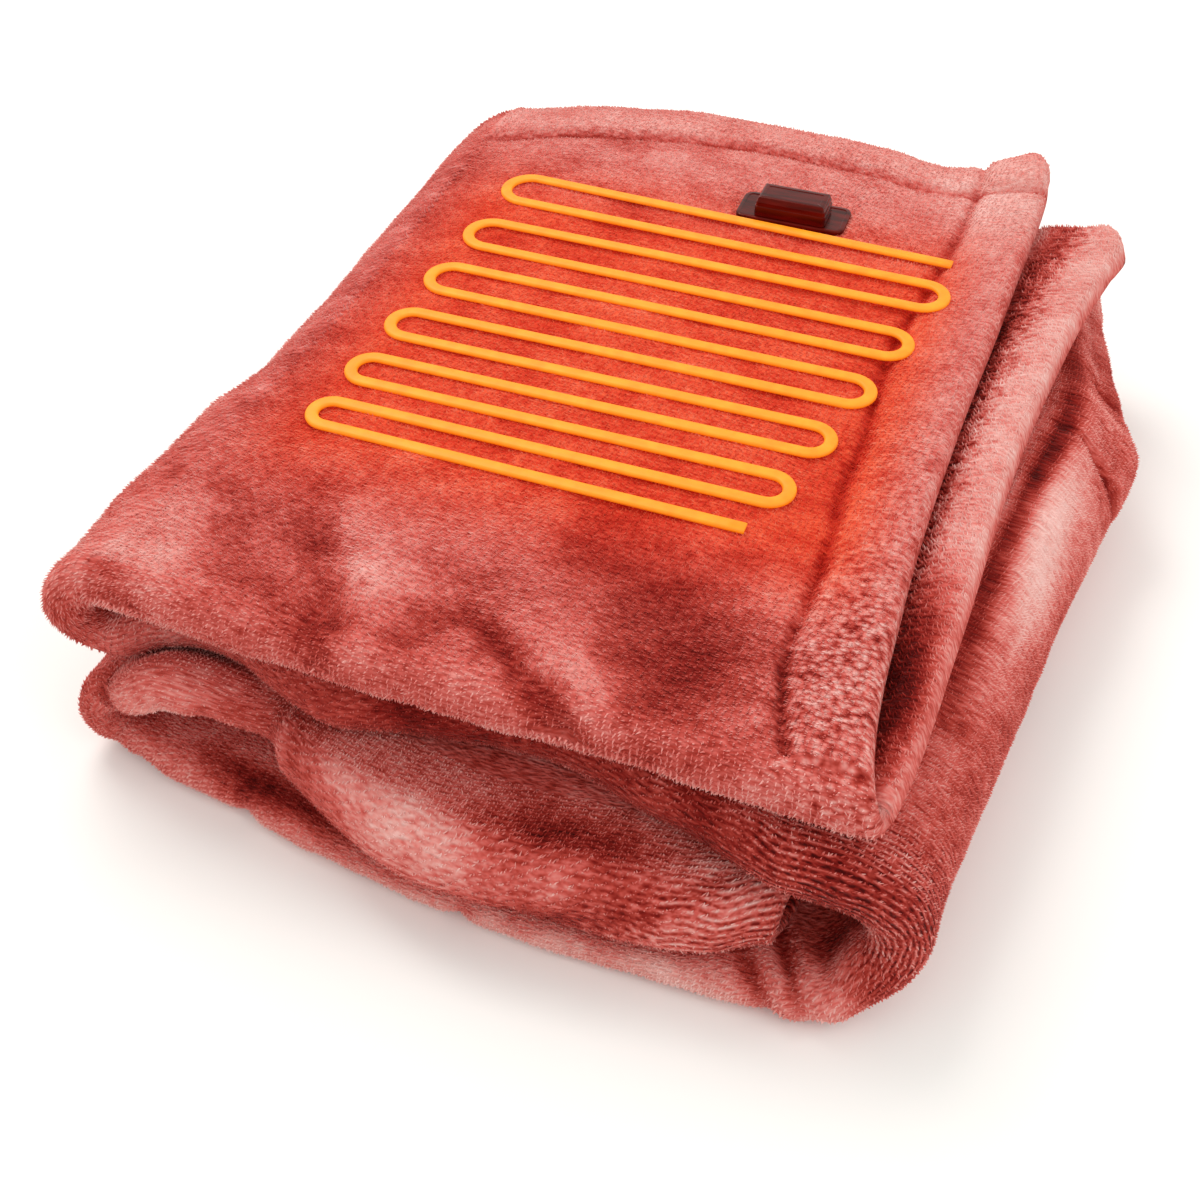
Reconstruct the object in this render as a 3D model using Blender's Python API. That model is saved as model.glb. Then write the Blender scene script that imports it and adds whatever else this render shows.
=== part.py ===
"""Electric heated blanket, folded: in half along its length, then back and forth into a stack.

The cloth is one sheet. Folded in half it is a doubled cloth with an upper and an under layer
that meet in a rolled edge at the front. The doubled cloth then runs like this, seen from the front:

    right hems  <- top run <-       upper left turn
                -> second run ->    right turn, the large round side
                <- bottom run <-    lower left turn
                -> inner run        free end, inside the right turn

Metres, +Z up, +X to the right, the front towards -Y, standing on z = 0 under the middle of its box.
"""
from collections import namedtuple
import math

import bmesh
import bpy
import numpy as np

MM = 0.001
GAP = 0.3 * MM                      # clearance between pieces that touch

# ---------------------------------------------------------------- the folds
# The pieces of the path, and of the way across the cloth, with their nominal lengths in millimetres.
PATH_LENGTHS = (305, 46, 320, 110, 320, 48, 290)    # run, turn, run, turn, run, turn, run
ACROSS_LENGTHS = (460, 22, 450)                     # upper layer, rolled front edge, under layer

# One row for each place along the doubled cloth. `at` counts the pieces of the path: a whole number
# is where a run meets a turn, and the part after the point is how far along that piece the row lies.
# Millimetres. The _back values hold for the body of the pack and the _front ones at the rolled edge,
# which works back into the pack over about the distance `reach`.
Place = namedtuple("Place", "at front back_upper back_under under_back under_front "
                            "cloth_back cloth_front gap_back gap_front reach")
FOLDS = (
    # at    front  back   back   underside     cloth        gap
    #       roll   upper  under  back  front  back  front  back front reach
    Place(0.00, -223, 238, 214, 86.5, 86.5, 12.0, 12.0, 2.0, 2.0, 45),      # top run, right hems
    Place(0.08, -223, 228, 202, 86.5, 86.5, 12.0, 12.0, 2.0, 2.0, 45),
    Place(0.16, -222, 222, 204, 86.5, 86.5, 12.0, 12.0, 2.0, 2.0, 45),
    Place(0.32, -221, 233, 214, 86.5, 86.5, 12.0, 12.0, 2.0, 2.0, 45),
    Place(0.60, -222, 238, 220, 86.5, 86.5, 12.0, 12.0, 2.0, 2.0, 45),
    Place(0.85, -219, 226, 220, 86.5, 86.0, 12.0, 11.5, 2.0, 3.0, 45),
    Place(1.00, -216, 206, 216, 86.5, 87.0, 12.0, 9.5, 2.0, 4.0, 45),       # upper left turn
    Place(1.50, -221, 174, 212, 72.0, 70.5, 12.0, 9.0, 2.0, 4.0, 45),
    Place(2.00, -216, 188, 212, 58.0, 55.0, 12.0, 9.5, 2.0, 4.0, 40),       # second run
    Place(2.05, -208, 191, 212, 58.0, 60.0, 12.0, 9.0, 2.0, 3.0, 35),
    Place(2.12, -206, 197, 212, 58.0, 64.0, 12.0, 9.0, 2.0, 2.0, 35),
    Place(2.20, -208, 202, 212, 58.0, 62.0, 12.0, 9.5, 2.0, 2.0, 35),
    Place(2.27, -215, 206, 212, 58.0, 59.0, 12.0, 10.5, 2.0, 3.0, 40),
    Place(2.34, -221, 208, 212, 58.0, 58.0, 12.0, 11.5, 2.0, 3.0, 45),
    Place(2.45, -215, 212, 212, 58.0, 58.0, 12.0, 11.5, 2.0, 3.0, 45),
    Place(2.65, -207, 214, 212, 58.0, 58.0, 12.0, 11.5, 2.0, 3.0, 45),
    Place(2.82, -221, 214, 212, 58.0, 58.0, 12.0, 11.5, 2.0, 3.0, 45),
    Place(3.00, -235, 212, 210, 58.0, 58.0, 12.0, 10.5, 2.0, 5.0, 45),      # right turn
    Place(3.50, -232, 212, 210, 28.0, 28.0, 12.0, 9.5, 2.0, 6.0, 45),
    Place(4.00, -250, 212, 210, 0.0, 0.0, 11.5, 8.0, 1.8, 3.6, 45),         # bottom run
    Place(4.15, -252, 212, 210, 0.0, 0.0, 11.5, 7.2, 1.8, 2.2, 45),
    Place(4.60, -247, 212, 210, 0.0, 0.0, 11.5, 7.2, 1.8, 2.2, 45),
    Place(4.75, -238, 212, 210, 0.0, 0.0, 11.2, 7.4, 1.8, 2.4, 45),
    Place(4.86, -232, 212, 210, 0.0, 0.0, 11.0, 7.8, 1.8, 3.0, 45),
    Place(4.94, -229, 211, 209, 0.0, 0.0, 11.0, 8.0, 1.8, 3.6, 35),
    Place(5.00, -224, 210, 208, 0.0, 0.0, 11.0, 7.6, 1.8, 3.6, 30),         # lower left turn
    Place(5.14, -222, 209, 207, 2.0, 2.0, 11.0, 7.6, 1.8, 4.0, 32),
    Place(5.32, -225, 209, 207, 5.0, 5.0, 11.0, 7.6, 1.8, 4.4, 35),
    Place(5.50, -226, 208, 206, 15.0, 15.0, 11.0, 7.6, 1.8, 4.4, 35),
    Place(5.70, -225, 207, 205, 26.0, 26.0, 11.0, 7.6, 2.0, 4.4, 35),
    Place(5.86, -223, 206, 204, 30.0, 28.0, 11.0, 7.6, 2.0, 4.4, 30),
    Place(6.00, -226, 206, 204, 30.0, 31.0, 11.0, 7.6, 2.0, 4.4, 22),       # inner run
    Place(6.05, -231, 206, 204, 30.0, 40.0, 11.0, 8.0, 2.0, 6.0, 18),
    Place(6.10, -232, 206, 204, 30.0, 50.0, 11.0, 8.0, 2.0, 7.0, 18),
    Place(6.15, -230, 206, 204, 30.0, 48.0, 11.5, 8.0, 2.0, 7.0, 18),
    Place(6.20, -223, 206, 204, 30.0, 38.0, 11.5, 8.5, 2.0, 5.0, 18),
    Place(6.24, -219, 206, 204, 30.0, 31.0, 11.5, 9.0, 2.0, 4.0, 20),
    Place(6.29, -230, 206, 204, 30.0, 28.0, 11.5, 10.0, 2.0, 6.0, 30),
    Place(6.36, -242, 204, 202, 30.0, 25.0, 11.5, 11.0, 2.0, 8.5, 45),
    Place(6.48, -255, 204, 202, 30.0, 19.0, 11.5, 11.5, 2.0, 13.5, 45),
    Place(6.75, -256, 202, 200, 30.0, 19.0, 11.5, 11.5, 2.0, 13.5, 45),
    Place(6.92, -249, 202, 200, 30.0, 19.5, 11.5, 11.5, 2.0, 13.0, 45),
    Place(7.00, -238, 202, 200, 30.0, 21.0, 11.5, 11.5, 2.0, 11.5, 45),     # free end of the inner run
)

# One row for each place from front to back: where the folded cloth ends or turns, left and right.
# Millimetres, measured to the outside of the cloth.
Station = namedtuple("Station", "y upper_hem under_hem upper_left right_side right_reach "
                                "lower_left inner_end")
STATIONS = (
    #        y   upper  under  upper  right  its    lower  inner
    #            hem    hem    left   side   reach  left   end
    Station(-250, 166, 166, -189, 196, 38, -182, 136),
    Station(-225, 165, 168, -189, 196, 38, -186, 140),
    Station(-200, 159, 172, -186, 197, 40, -184, 146),
    Station(-120, 153, 177, -176, 206, 46, -178, 156),
    Station(0, 154, 182, -170, 223, 51, -173, 160),
    Station(80, 158, 190, -171, 232, 50, -170, 162),
    Station(130, 160, 197, -172, 219, 43, -169, 161),
    Station(170, 162, 205, -172, 209, 37, -169, 158),
    Station(195, 163, 210, -170, 205, 35, -168, 156),
    Station(206, 163, 206, -168, 206, 34, -168, 154),
    Station(216, 162, 192, -166, 205, 33, -168, 153),
    Station(228, 160, 186, -160, 203, 32, -167, 152),
    Station(236, 152, 184, -156, 201, 31, -166, 151),
    Station(242, 136, 184, -154, 200, 31, -166, 150),
)
# One row for each small fold or crease of a turn: where it lies along the path at its front and back
# end, its width and height, and where it starts and ends. `layer` is 0 for upper, 1 for under.
Ridge = namedtuple("Ridge", "at_front at_back width height y_from y_to fade layer")
RIDGES = (
    Ridge(1.36, 1.36, 9, 4.5, -196, -60, 34, 0),       # upper bulge of the left corner
    Ridge(1.78, 1.78, 8, 4.0, -196, -60, 34, 0),       # lower bulge of the left corner
    Ridge(3.21, 3.19, 7, 4.5, -150, 270, 60, 1),       # thin roll under the second hem
    Ridge(3.47, 3.30, 6, 4.5, 30, 230, 50, 1),         # pleats at the back of the right side
    Ridge(3.50, 3.48, 6, 4.0, 30, 230, 50, 1),
    Ridge(3.70, 3.68, 8, 1.5, -300, -150, 50, 0),      # pleat in the mouth of the right turn
)
STEP = 0.1 * MM                     # distance over which slopes are measured
FLOOR_SNAP = 0.2 * MM               # what comes this near to the floor lies flat on it

# ---------------------------------------------------------------- hems and corners
HEM = 30 * MM                       # edge to stitch line
HEM_PUFF = 1.6 * MM                 # how much each face of the hem stands up
STITCH_DEPTH = 2.2 * MM
STITCH_WIDTH = 4 * MM
CORNER_LIFT = 9 * MM                # the upper hem's back corner stands proud
CORNER_SPREAD = 38 * MM

# ---------------------------------------------------------------- heating wire and inlet
WIRE_WIDTH = 6 * MM
WIRE_THICK = 1.8 * MM
WIRE_ROWS = 12
WIRE_SPAN = (-104 * MM, 120 * MM)   # X at which the rows below are placed, left and right
WIRE_BACK_LEFT = 129.3 * MM         # Y of the back row there
WIRE_BACK_RIGHT = 119.2 * MM
WIRE_PITCH_LEFT = 24.9 * MM         # from the back row to the next one
WIRE_PITCH_RIGHT = 22.3 * MM
WIRE_CLOSER_LEFT = 0.78 * MM        # how much closer each next pair of rows lies
WIRE_CLOSER_RIGHT = 0.42 * MM
WIRE_START = 127 * MM               # X of the free end of the back row
WIRE_END = 83 * MM                  # X of the free end of the front row
WIRE_LEFT = -113 * MM               # X of the tip of the first left bend
WIRE_LEFT_STEP = -1.4 * MM
WIRE_RIGHT = 129 * MM               # X of the tip of the first right bend
WIRE_RIGHT_STEP = -8.7 * MM

FLANGE_CENTRE = (39 * MM, 143 * MM)
FLANGE_SIZE = (58 * MM, 26 * MM, 2.4 * MM)
HOUSING_CENTRE = (39 * MM, 141 * MM)
HOUSING_SIZE = (38 * MM, 19 * MM, 10 * MM)
PLUG_FACE_MARGIN = 1 * MM           # rim left round the plug face on the housing's right end
PLUG_FACE_DEPTH = 1.2 * MM

ORIGIN = (24.6 * MM, -9.9 * MM)     # middle of the pack's box in the tables' own frame


def smooth_curve(place, xs, ys, slopes):
    """Read a smooth curve through the points (xs, ys), with the given slopes at the points."""
    k = np.clip(np.searchsorted(xs, place, side="right") - 1, 0, len(xs) - 2)
    width = xs[k + 1] - xs[k]
    f = np.clip((place - xs[k]) / width, 0.0, 1.0)
    rise = f * f * (3 - 2 * f)
    value = ys[k] * (1 - rise) + ys[k + 1] * rise
    value += width * (f * (1 - f) ** 2 * slopes[k] - f * f * (1 - f) * slopes[k + 1])
    return value


PATH_JOINTS = np.concatenate(([0], np.cumsum(PATH_LENGTHS))) * MM
ACROSS_JOINTS = np.concatenate(([0], np.cumsum(ACROSS_LENGTHS))) * MM


def along_path(at):
    """Distance along the path of a place that is given as pieces and a part of a piece."""
    return np.interp(at, np.arange(len(PATH_JOINTS)), PATH_JOINTS)


def from_folds(along, column):
    """A fold size at a distance along the path, level where a run meets a turn."""
    xs = along_path([row.at for row in FOLDS])
    ys = np.array([getattr(row, column) for row in FOLDS]) * MM
    at_joint = np.array([row.at == round(row.at) for row in FOLDS])
    slopes = np.where(at_joint, 0, np.gradient(ys, xs))
    return smooth_curve(along, xs, ys, slopes)


def from_stations(y, column):
    xs = np.array([row.y for row in STATIONS]) * MM
    ys = np.array([getattr(row, column) for row in STATIONS]) * MM
    return smooth_curve(y, xs, ys, np.gradient(ys, xs))


def settle(along, depth, name):
    """Blend a fold size from its value at the rolled front edge to its value in the pack."""
    front = np.exp(-(np.maximum(depth, 0.0) / from_folds(along, "reach")) ** 2)
    back_value = from_folds(along, name + "_back")
    return back_value + (from_folds(along, name + "_front") - back_value) * front


def half_roll(along, depth):
    return settle(along, depth, "cloth") + settle(along, depth, "gap") / 2


def level(along, depth):
    """Height of the middle of the doubled cloth."""
    return settle(along, depth, "under") + half_roll(along, depth)


def joint_x(joint, y, layer):
    """X where a run ends. `layer` is 0 on the upper layer and 1 on the under one."""
    in_pack = np.full_like(y, 1.0)
    if joint == 0:
        return from_stations(y, "upper_hem") * (1 - layer) + from_stations(y, "under_hem") * layer
    if joint == 7:
        return from_stations(y, "inner_end")
    turn = 1 + 2 * ((joint - 1) // 2)
    thickness = half_roll(along_path(turn + 0.5), in_pack)
    if turn == 3:
        return from_stations(y, "right_side") - from_stations(y, "right_reach") - thickness
    drop = level(PATH_JOINTS[turn], in_pack) - level(PATH_JOINTS[turn + 1], in_pack)
    column = "upper_left" if turn == 1 else "lower_left"
    return from_stations(y, column) + np.abs(drop) / 2 + thickness


def path_point(along, y, depth, layer):
    """Middle of the doubled cloth: X and Z at a distance along its path."""
    piece = np.clip(np.searchsorted(PATH_JOINTS, along, side="right") - 1, 0, 6)
    f = (along - PATH_JOINTS[piece]) / (PATH_JOINTS[piece + 1] - PATH_JOINTS[piece])
    x = np.zeros_like(along)
    z = level(along, depth)
    for number in range(7):
        here = piece == number
        if not here.any():
            continue
        yy, dd, ff, lay = y[here], depth[here], f[here], layer[here]
        start_x = joint_x(number, yy, lay)
        if number % 2 == 0:
            x[here] = start_x + (joint_x(number + 1, yy, lay) - start_x) * ff
            continue
        z_in = level(PATH_JOINTS[number], dd)
        z_out = level(PATH_JOINTS[number + 1], dd)
        reach = from_stations(yy, "right_reach") if number == 3 else -np.abs(z_in - z_out) / 2
        x[here] = start_x + reach * np.sin(np.pi * ff)
        z[here] = (z_in + z_out) / 2 + (z_in - z_out) / 2 * np.cos(np.pi * ff)
    return x, z


def ridge_height(along, y, layer):
    """Small folds and creases of the turns, from the RIDGES table."""
    total = np.zeros_like(along)
    for ridge in RIDGES:
        back_part = np.clip((y / MM - ridge.y_from) / (ridge.y_to - ridge.y_from), 0, 1)
        at = ridge.at_front + (ridge.at_back - ridge.at_front) * back_part
        hump = np.exp(-((along - along_path(at)) / (ridge.width * MM)) ** 2)
        start = np.clip((y / MM - ridge.y_from) / ridge.fade, 0, 1)
        end = np.clip((ridge.y_to - y / MM) / ridge.fade, 0, 1)
        on_layer = np.clip(1 - 2 * np.abs(layer - ridge.layer), 0, 1)
        outwards = 1 if ridge.layer == 0 else -1
        total += outwards * ridge.height * MM * hump * start * end * on_layer
    return total


def roll_angle(across):
    """0 on the upper layer, half a turn on the under one, and between them round the front."""
    start, end = ACROSS_JOINTS[1], ACROSS_JOINTS[2]
    return np.clip((across - start) / (end - start), 0, 1) * np.pi


def layer_of(across):
    return (1 - np.cos(roll_angle(across))) / 2


def cloth_middle(along, across):
    """Middle of the cloth's thickness. `across` runs over the upper layer from back to front,
    round the rolled front edge, and over the under layer from front to back."""
    roll = roll_angle(across)
    layer = layer_of(across)
    at_front = np.zeros_like(along)
    bend = (settle(along, at_front, "cloth") + settle(along, at_front, "gap")) / 2
    roll_y = from_folds(along, "front") + half_roll(along, at_front)
    upper_y = from_folds(along, "back_upper")
    under_y = from_folds(along, "back_under")
    upper_part = across / ACROSS_JOINTS[1]
    under_part = (across - ACROSS_JOINTS[2]) / (ACROSS_JOINTS[3] - ACROSS_JOINTS[2])
    y = roll_y - bend * np.sin(roll)
    y = np.where(upper_part < 1, upper_y + (roll_y - upper_y) * upper_part, y)
    y = np.where(under_part > 0, roll_y + (under_y - roll_y) * under_part, y)
    depth = np.maximum(y - roll_y, 0)
    x, z = path_point(along, y, depth, layer)
    x_next, z_next = path_point(along + STEP, y, depth, layer)
    x_last, z_last = path_point(along - STEP, y, depth, layer)
    run = np.hypot(x_next - x_last, z_next - z_last)
    side_x = (z_next - z_last) / run
    side_z = -(x_next - x_last) / run
    span = (settle(along, depth, "cloth") + settle(along, depth, "gap")) / 2 * np.cos(roll)
    span = span + ridge_height(along, y, layer)
    x = x + side_x * span
    z = z + side_z * span
    corner_x = x - from_stations(y, "upper_hem")
    corner = np.exp(-(corner_x ** 2 + (y - upper_y) ** 2) / CORNER_SPREAD ** 2)
    on_top = (upper_part < 1) & (along < PATH_JOINTS[1])
    z = z + np.where(on_top, CORNER_LIFT * corner, 0)
    return np.stack((x, y, z), axis=-1), depth


def rounded(distance, radius):
    """1 inside the cloth, falling to 0 at its edge on a round profile."""
    inside = np.clip(distance / radius, 0, 1)
    return np.sqrt(1 - (1 - inside) ** 2)


def hem_relief(distance):
    """Height of the turned hem over the cloth beside it, with the dip of its stitch line."""
    inside = np.clip(distance / HEM, 0, 1)
    puff = HEM_PUFF * 4 * inside * (1 - inside)
    return puff - STITCH_DEPTH * np.exp(-((distance - HEM) / STITCH_WIDTH) ** 2)


def cloth_skins(along, across):
    """The outer and inner face of the cloth, in the tables' own frame."""
    middle, depth = cloth_middle(along, across)
    forward = cloth_middle(along + STEP, across)[0] - cloth_middle(along - STEP, across)[0]
    sideways = cloth_middle(along, across + STEP)[0] - cloth_middle(along, across - STEP)[0]
    normal = np.cross(forward, sideways)
    normal /= np.linalg.norm(normal, axis=-1, keepdims=True)

    x, y = middle[..., 0], middle[..., 1]
    layer = layer_of(across)
    on_top_run = along < PATH_JOINTS[1]
    upper = across < ACROSS_JOINTS[1]
    under = across > ACROSS_JOINTS[2]
    from_start = np.where(on_top_run, joint_x(0, y, layer) - x, 1.0)
    from_end = np.where(along > PATH_JOINTS[6], joint_x(7, y, layer) - x, 1.0)
    back_y = np.where(layer < 0.5, from_folds(along, "back_upper"), from_folds(along, "back_under"))
    from_back = back_y - y
    cloth = settle(along, depth, "cloth")
    edge = rounded(from_start, cloth / 2) * rounded(from_end, cloth / 2) * rounded(from_back, cloth / 2)
    hems = hem_relief(from_start) + hem_relief(from_back)
    outer = cloth / 2 + np.where(on_top_run & upper, hems, 0)
    inner = cloth / 2 + np.where(on_top_run & under, hem_relief(from_start), 0)
    outer_face = middle + normal * (outer * edge)[..., None]
    inner_face = middle - normal * (inner * edge)[..., None]
    return outer_face, inner_face


# Distances from an edge of the cloth, millimetres: close together round the edge and over the hem.
EDGE_STEPS = (0, 1, 3.2, 7)
HEM_STEPS = EDGE_STEPS + (15, 23, 28, 31, 36)


def stations_along():
    """Distances along the path, closer together at the hems and in the turns."""
    places = [along_path(part) for part in (0.22, 0.36, 0.52, 0.68, 0.84)]
    places += [along_path(1 + k / 10) for k in range(10)]
    places += [along_path(2 + part) for part in (0, 0.06, 0.14, 0.24, 0.36, 0.5, 0.62, 0.74, 0.87)]
    places += [along_path(3 + k / 14) for k in range(14)]
    places += [along_path(4 + part) for part in (0, 0.12, 0.28, 0.45, 0.62, 0.76, 0.86, 0.93)]
    places += [along_path(5 + k / 10) for k in range(10)]
    places += [along_path(6 + part) for part in (0, 0.04, 0.08, 0.12, 0.16, 0.2, 0.25, 0.3, 0.37)]
    places += [along_path(6 + part) for part in (0.46, 0.57, 0.7, 0.84, 0.94)]
    first = [step * MM for step in HEM_STEPS]
    last = [PATH_JOINTS[-1] - step * MM for step in reversed(EDGE_STEPS)]
    return np.array(first + places + last)


def stations_across():
    """Distances across the cloth, from the back hem round the front to the back again."""
    front, under_start, end = ACROSS_JOINTS[1:]
    places = [front * part for part in (0.17, 0.3, 0.44, 0.58, 0.7, 0.8, 0.88, 0.94)]
    places += list(np.linspace(front, under_start, 8))
    under_parts = (0.06, 0.13, 0.22, 0.36, 0.52, 0.7, 0.86, 0.95)
    places += [under_start + (end - under_start) * part for part in under_parts]
    first = [step * MM for step in HEM_STEPS]
    last = [end - step * MM for step in reversed(EDGE_STEPS)]
    return np.array(first + places + last)


def add_split(mesh, corners, turned):
    """Two triangles that meet on the line from the cloth's corner inwards."""
    a, b, c, d = corners[1:] + corners[:1] if turned else corners
    mesh.faces.new((a, b, c))
    mesh.faces.new((a, c, d))


def cloth_mesh():
    """One closed skin: the outer face, the inner face, and one shared row of points at the edges."""
    along, across = np.meshgrid(stations_along(), stations_across(), indexing="ij")
    shape = along.shape
    outer, inner = cloth_skins(along.ravel(), across.ravel())
    outer = outer.reshape(shape + (3,))
    inner = inner.reshape(shape + (3,))
    outer[..., 2] = np.where(outer[..., 2] < FLOOR_SNAP, 0, outer[..., 2])

    mesh = bmesh.new()
    rows, columns = shape
    top = [[mesh.verts.new(outer[i, j]) for j in range(columns)] for i in range(rows)]

    def inner_vert(i, j):
        on_edge = i in (0, rows - 1) or j in (0, columns - 1)
        return top[i][j] if on_edge else mesh.verts.new(inner[i, j])

    low = [[inner_vert(i, j) for j in range(columns)] for i in range(rows)]
    for i in range(rows - 1):
        for j in range(columns - 1):
            upper = (top[i][j], top[i + 1][j], top[i + 1][j + 1], top[i][j + 1])
            under = (low[i][j], low[i][j + 1], low[i + 1][j + 1], low[i + 1][j])
            if i in (0, rows - 2) and j in (0, columns - 2):
                turned = (i == 0) != (j == 0)
                add_split(mesh, upper, turned)
                add_split(mesh, under, turned)
            else:
                mesh.faces.new(upper)
                mesh.faces.new(under)
    return mesh


# ---------------------------------------------------------------- objects
def material(name, colour, roughness, sheen=0.0):
    made = bpy.data.materials.new(name)
    made.use_nodes = True
    shader = made.node_tree.nodes["Principled BSDF"]
    shader.inputs["Base Color"].default_value = (*colour, 1)
    shader.inputs["Roughness"].default_value = roughness
    shader.inputs["Metallic"].default_value = 0.0
    shader.inputs["Sheen Weight"].default_value = sheen
    return made


def add_object(name, mesh, finish, parent):
    """Turn a bmesh in the tables' frame into an object that stands on the part's own origin."""
    bmesh.ops.translate(mesh, verts=mesh.verts, vec=(-ORIGIN[0], -ORIGIN[1], 0))
    data = bpy.data.meshes.new(name)
    mesh.to_mesh(data)
    mesh.free()
    data.materials.append(finish)
    data.shade_smooth()
    data.set_sharp_from_angle(angle=math.radians(50))
    made = bpy.data.objects.new(name, data)
    bpy.context.collection.objects.link(made)
    made.parent = parent
    return made


def top_height():
    """Height of the flat top of the folded cloth."""
    row = FOLDS[1]
    return (row.under_back + 2 * row.cloth_back + row.gap_back) * MM


def wire_row(row, x):
    """Y of one of the wire's straight rows at X."""
    left = WIRE_BACK_LEFT - WIRE_PITCH_LEFT * row + WIRE_CLOSER_LEFT * row * (row - 1) / 2
    right = WIRE_BACK_RIGHT - WIRE_PITCH_RIGHT * row + WIRE_CLOSER_RIGHT * row * (row - 1) / 2
    return left + (right - left) * (x - WIRE_SPAN[0]) / (WIRE_SPAN[1] - WIRE_SPAN[0])


def wire_path():
    """Centre line of the heating wire: rows joined by half-round bends, left and right in turn."""
    points = [(WIRE_START, wire_row(0, WIRE_START))]
    for row in range(1, WIRE_ROWS):
        side = -1 if row % 2 == 1 else 1
        tip = WIRE_LEFT + WIRE_LEFT_STEP * (row // 2)
        if side == 1:
            tip = WIRE_RIGHT + WIRE_RIGHT_STEP * (row // 2 - 1)
        bend = (wire_row(row - 1, tip) - wire_row(row, tip)) / 2
        centre_x = tip - side * bend
        centre_y = (wire_row(row - 1, centre_x) + wire_row(row, centre_x)) / 2
        for k in range(9):
            turn = math.pi * (0.5 - k / 8)
            points.append((centre_x + side * bend * math.cos(turn), centre_y + bend * math.sin(turn)))
    points.append((WIRE_END, wire_row(WIRE_ROWS - 1, WIRE_END)))
    return points


def wire_mesh():
    """A flat strip along the wire's centre line, mitred at each point."""
    points = [np.array(point) for point in wire_path()]
    base = top_height() + GAP
    mesh = bmesh.new()
    rings = []
    for i, point in enumerate(points):
        before = points[max(i - 1, 0)]
        after = points[min(i + 1, len(points) - 1)]
        run = after - before
        side = np.array((-run[1], run[0])) / np.hypot(*run) * WIRE_WIDTH / 2
        left, right = point + side, point - side
        corners = [(left, base), (right, base), (right, base + WIRE_THICK), (left, base + WIRE_THICK)]
        rings.append([mesh.verts.new((*place, z)) for place, z in corners])
    for first, second in zip(rings, rings[1:]):
        for k in range(4):
            turn = (k + 1) % 4
            mesh.faces.new((first[k], first[turn], second[turn], second[k]))
    mesh.faces.new(rings[0][::-1])
    mesh.faces.new(rings[-1])
    bmesh.ops.recalc_face_normals(mesh, faces=mesh.faces)
    return mesh


def block_mesh(size, centre, base, bevel):
    """A moulded block with rounded edges, standing on `base`."""
    mesh = bmesh.new()
    bmesh.ops.create_cube(mesh, size=1)
    bmesh.ops.scale(mesh, vec=size, verts=mesh.verts)
    bmesh.ops.translate(mesh, vec=(*centre, base + size[2] / 2), verts=mesh.verts)
    bmesh.ops.bevel(mesh, geom=mesh.edges, offset=bevel, segments=3, affect="EDGES", profile=0.5)
    return mesh


def sink_plug_face(mesh):
    """Set the flat face that the plug meets a little into the right end of the housing."""
    right_end = max(mesh.faces, key=lambda face: (round(face.calc_center_median().x, 5), face.calc_area()))
    bmesh.ops.inset_region(mesh, faces=[right_end], thickness=PLUG_FACE_MARGIN, use_even_offset=True)
    pushed = bmesh.ops.extrude_face_region(mesh, geom=[right_end])
    verts = [item for item in pushed["geom"] if isinstance(item, bmesh.types.BMVert)]
    bmesh.ops.translate(mesh, vec=(-PLUG_FACE_DEPTH, 0, 0), verts=verts)
    bmesh.ops.delete(mesh, geom=[right_end], context="FACES_ONLY")


def build():
    for old in list(bpy.data.objects):
        bpy.data.objects.remove(old, do_unlink=True)
    root = bpy.data.objects.new("heated_blanket", None)
    bpy.context.collection.objects.link(root)

    flannel = material("rose flannel", (0.46, 0.105, 0.095), 0.95, sheen=0.6)
    lead = material("amber wire sleeve", (1.0, 0.40, 0.03), 0.5)
    plastic = material("dark brown moulded plastic", (0.045, 0.008, 0.006), 0.18)

    add_object("blanket_cloth", cloth_mesh(), flannel, root)
    add_object("heating_wire", wire_mesh(), lead, root)
    flange_base = top_height() + GAP
    flange = block_mesh(FLANGE_SIZE, FLANGE_CENTRE, flange_base, 0.8 * MM)
    add_object("inlet_flange", flange, plastic, root)
    housing = block_mesh(HOUSING_SIZE, HOUSING_CENTRE, flange_base + FLANGE_SIZE[2] + GAP, 1.6 * MM)
    sink_plug_face(housing)
    add_object("inlet_housing", housing, plastic, root)


build()
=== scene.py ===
# %% [markdown]
# # An electric heated blanket, folded
#
# The real thing is one piece of plush flannel, about 1.4 m long and 0.9 m wide. A heating wire warms
# it, and a small moulded inlet on top takes the plug. The picture draws the wire over the cloth, so
# here it is a flat band on the top. The cloth is folded in half along its length, and the doubled
# cloth is then run back and forth into a soft pack.
#
# In this lesson we build it in Blender: the folds come from a few tables of real sizes, the mesh is
# made fine only where it shows, and the plush comes from small relief, a material and short pile.
# We begin with the frame, which holds the plain solids that our pieces have to fit.

# %% Load the frame
import math
from collections import namedtuple

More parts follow.
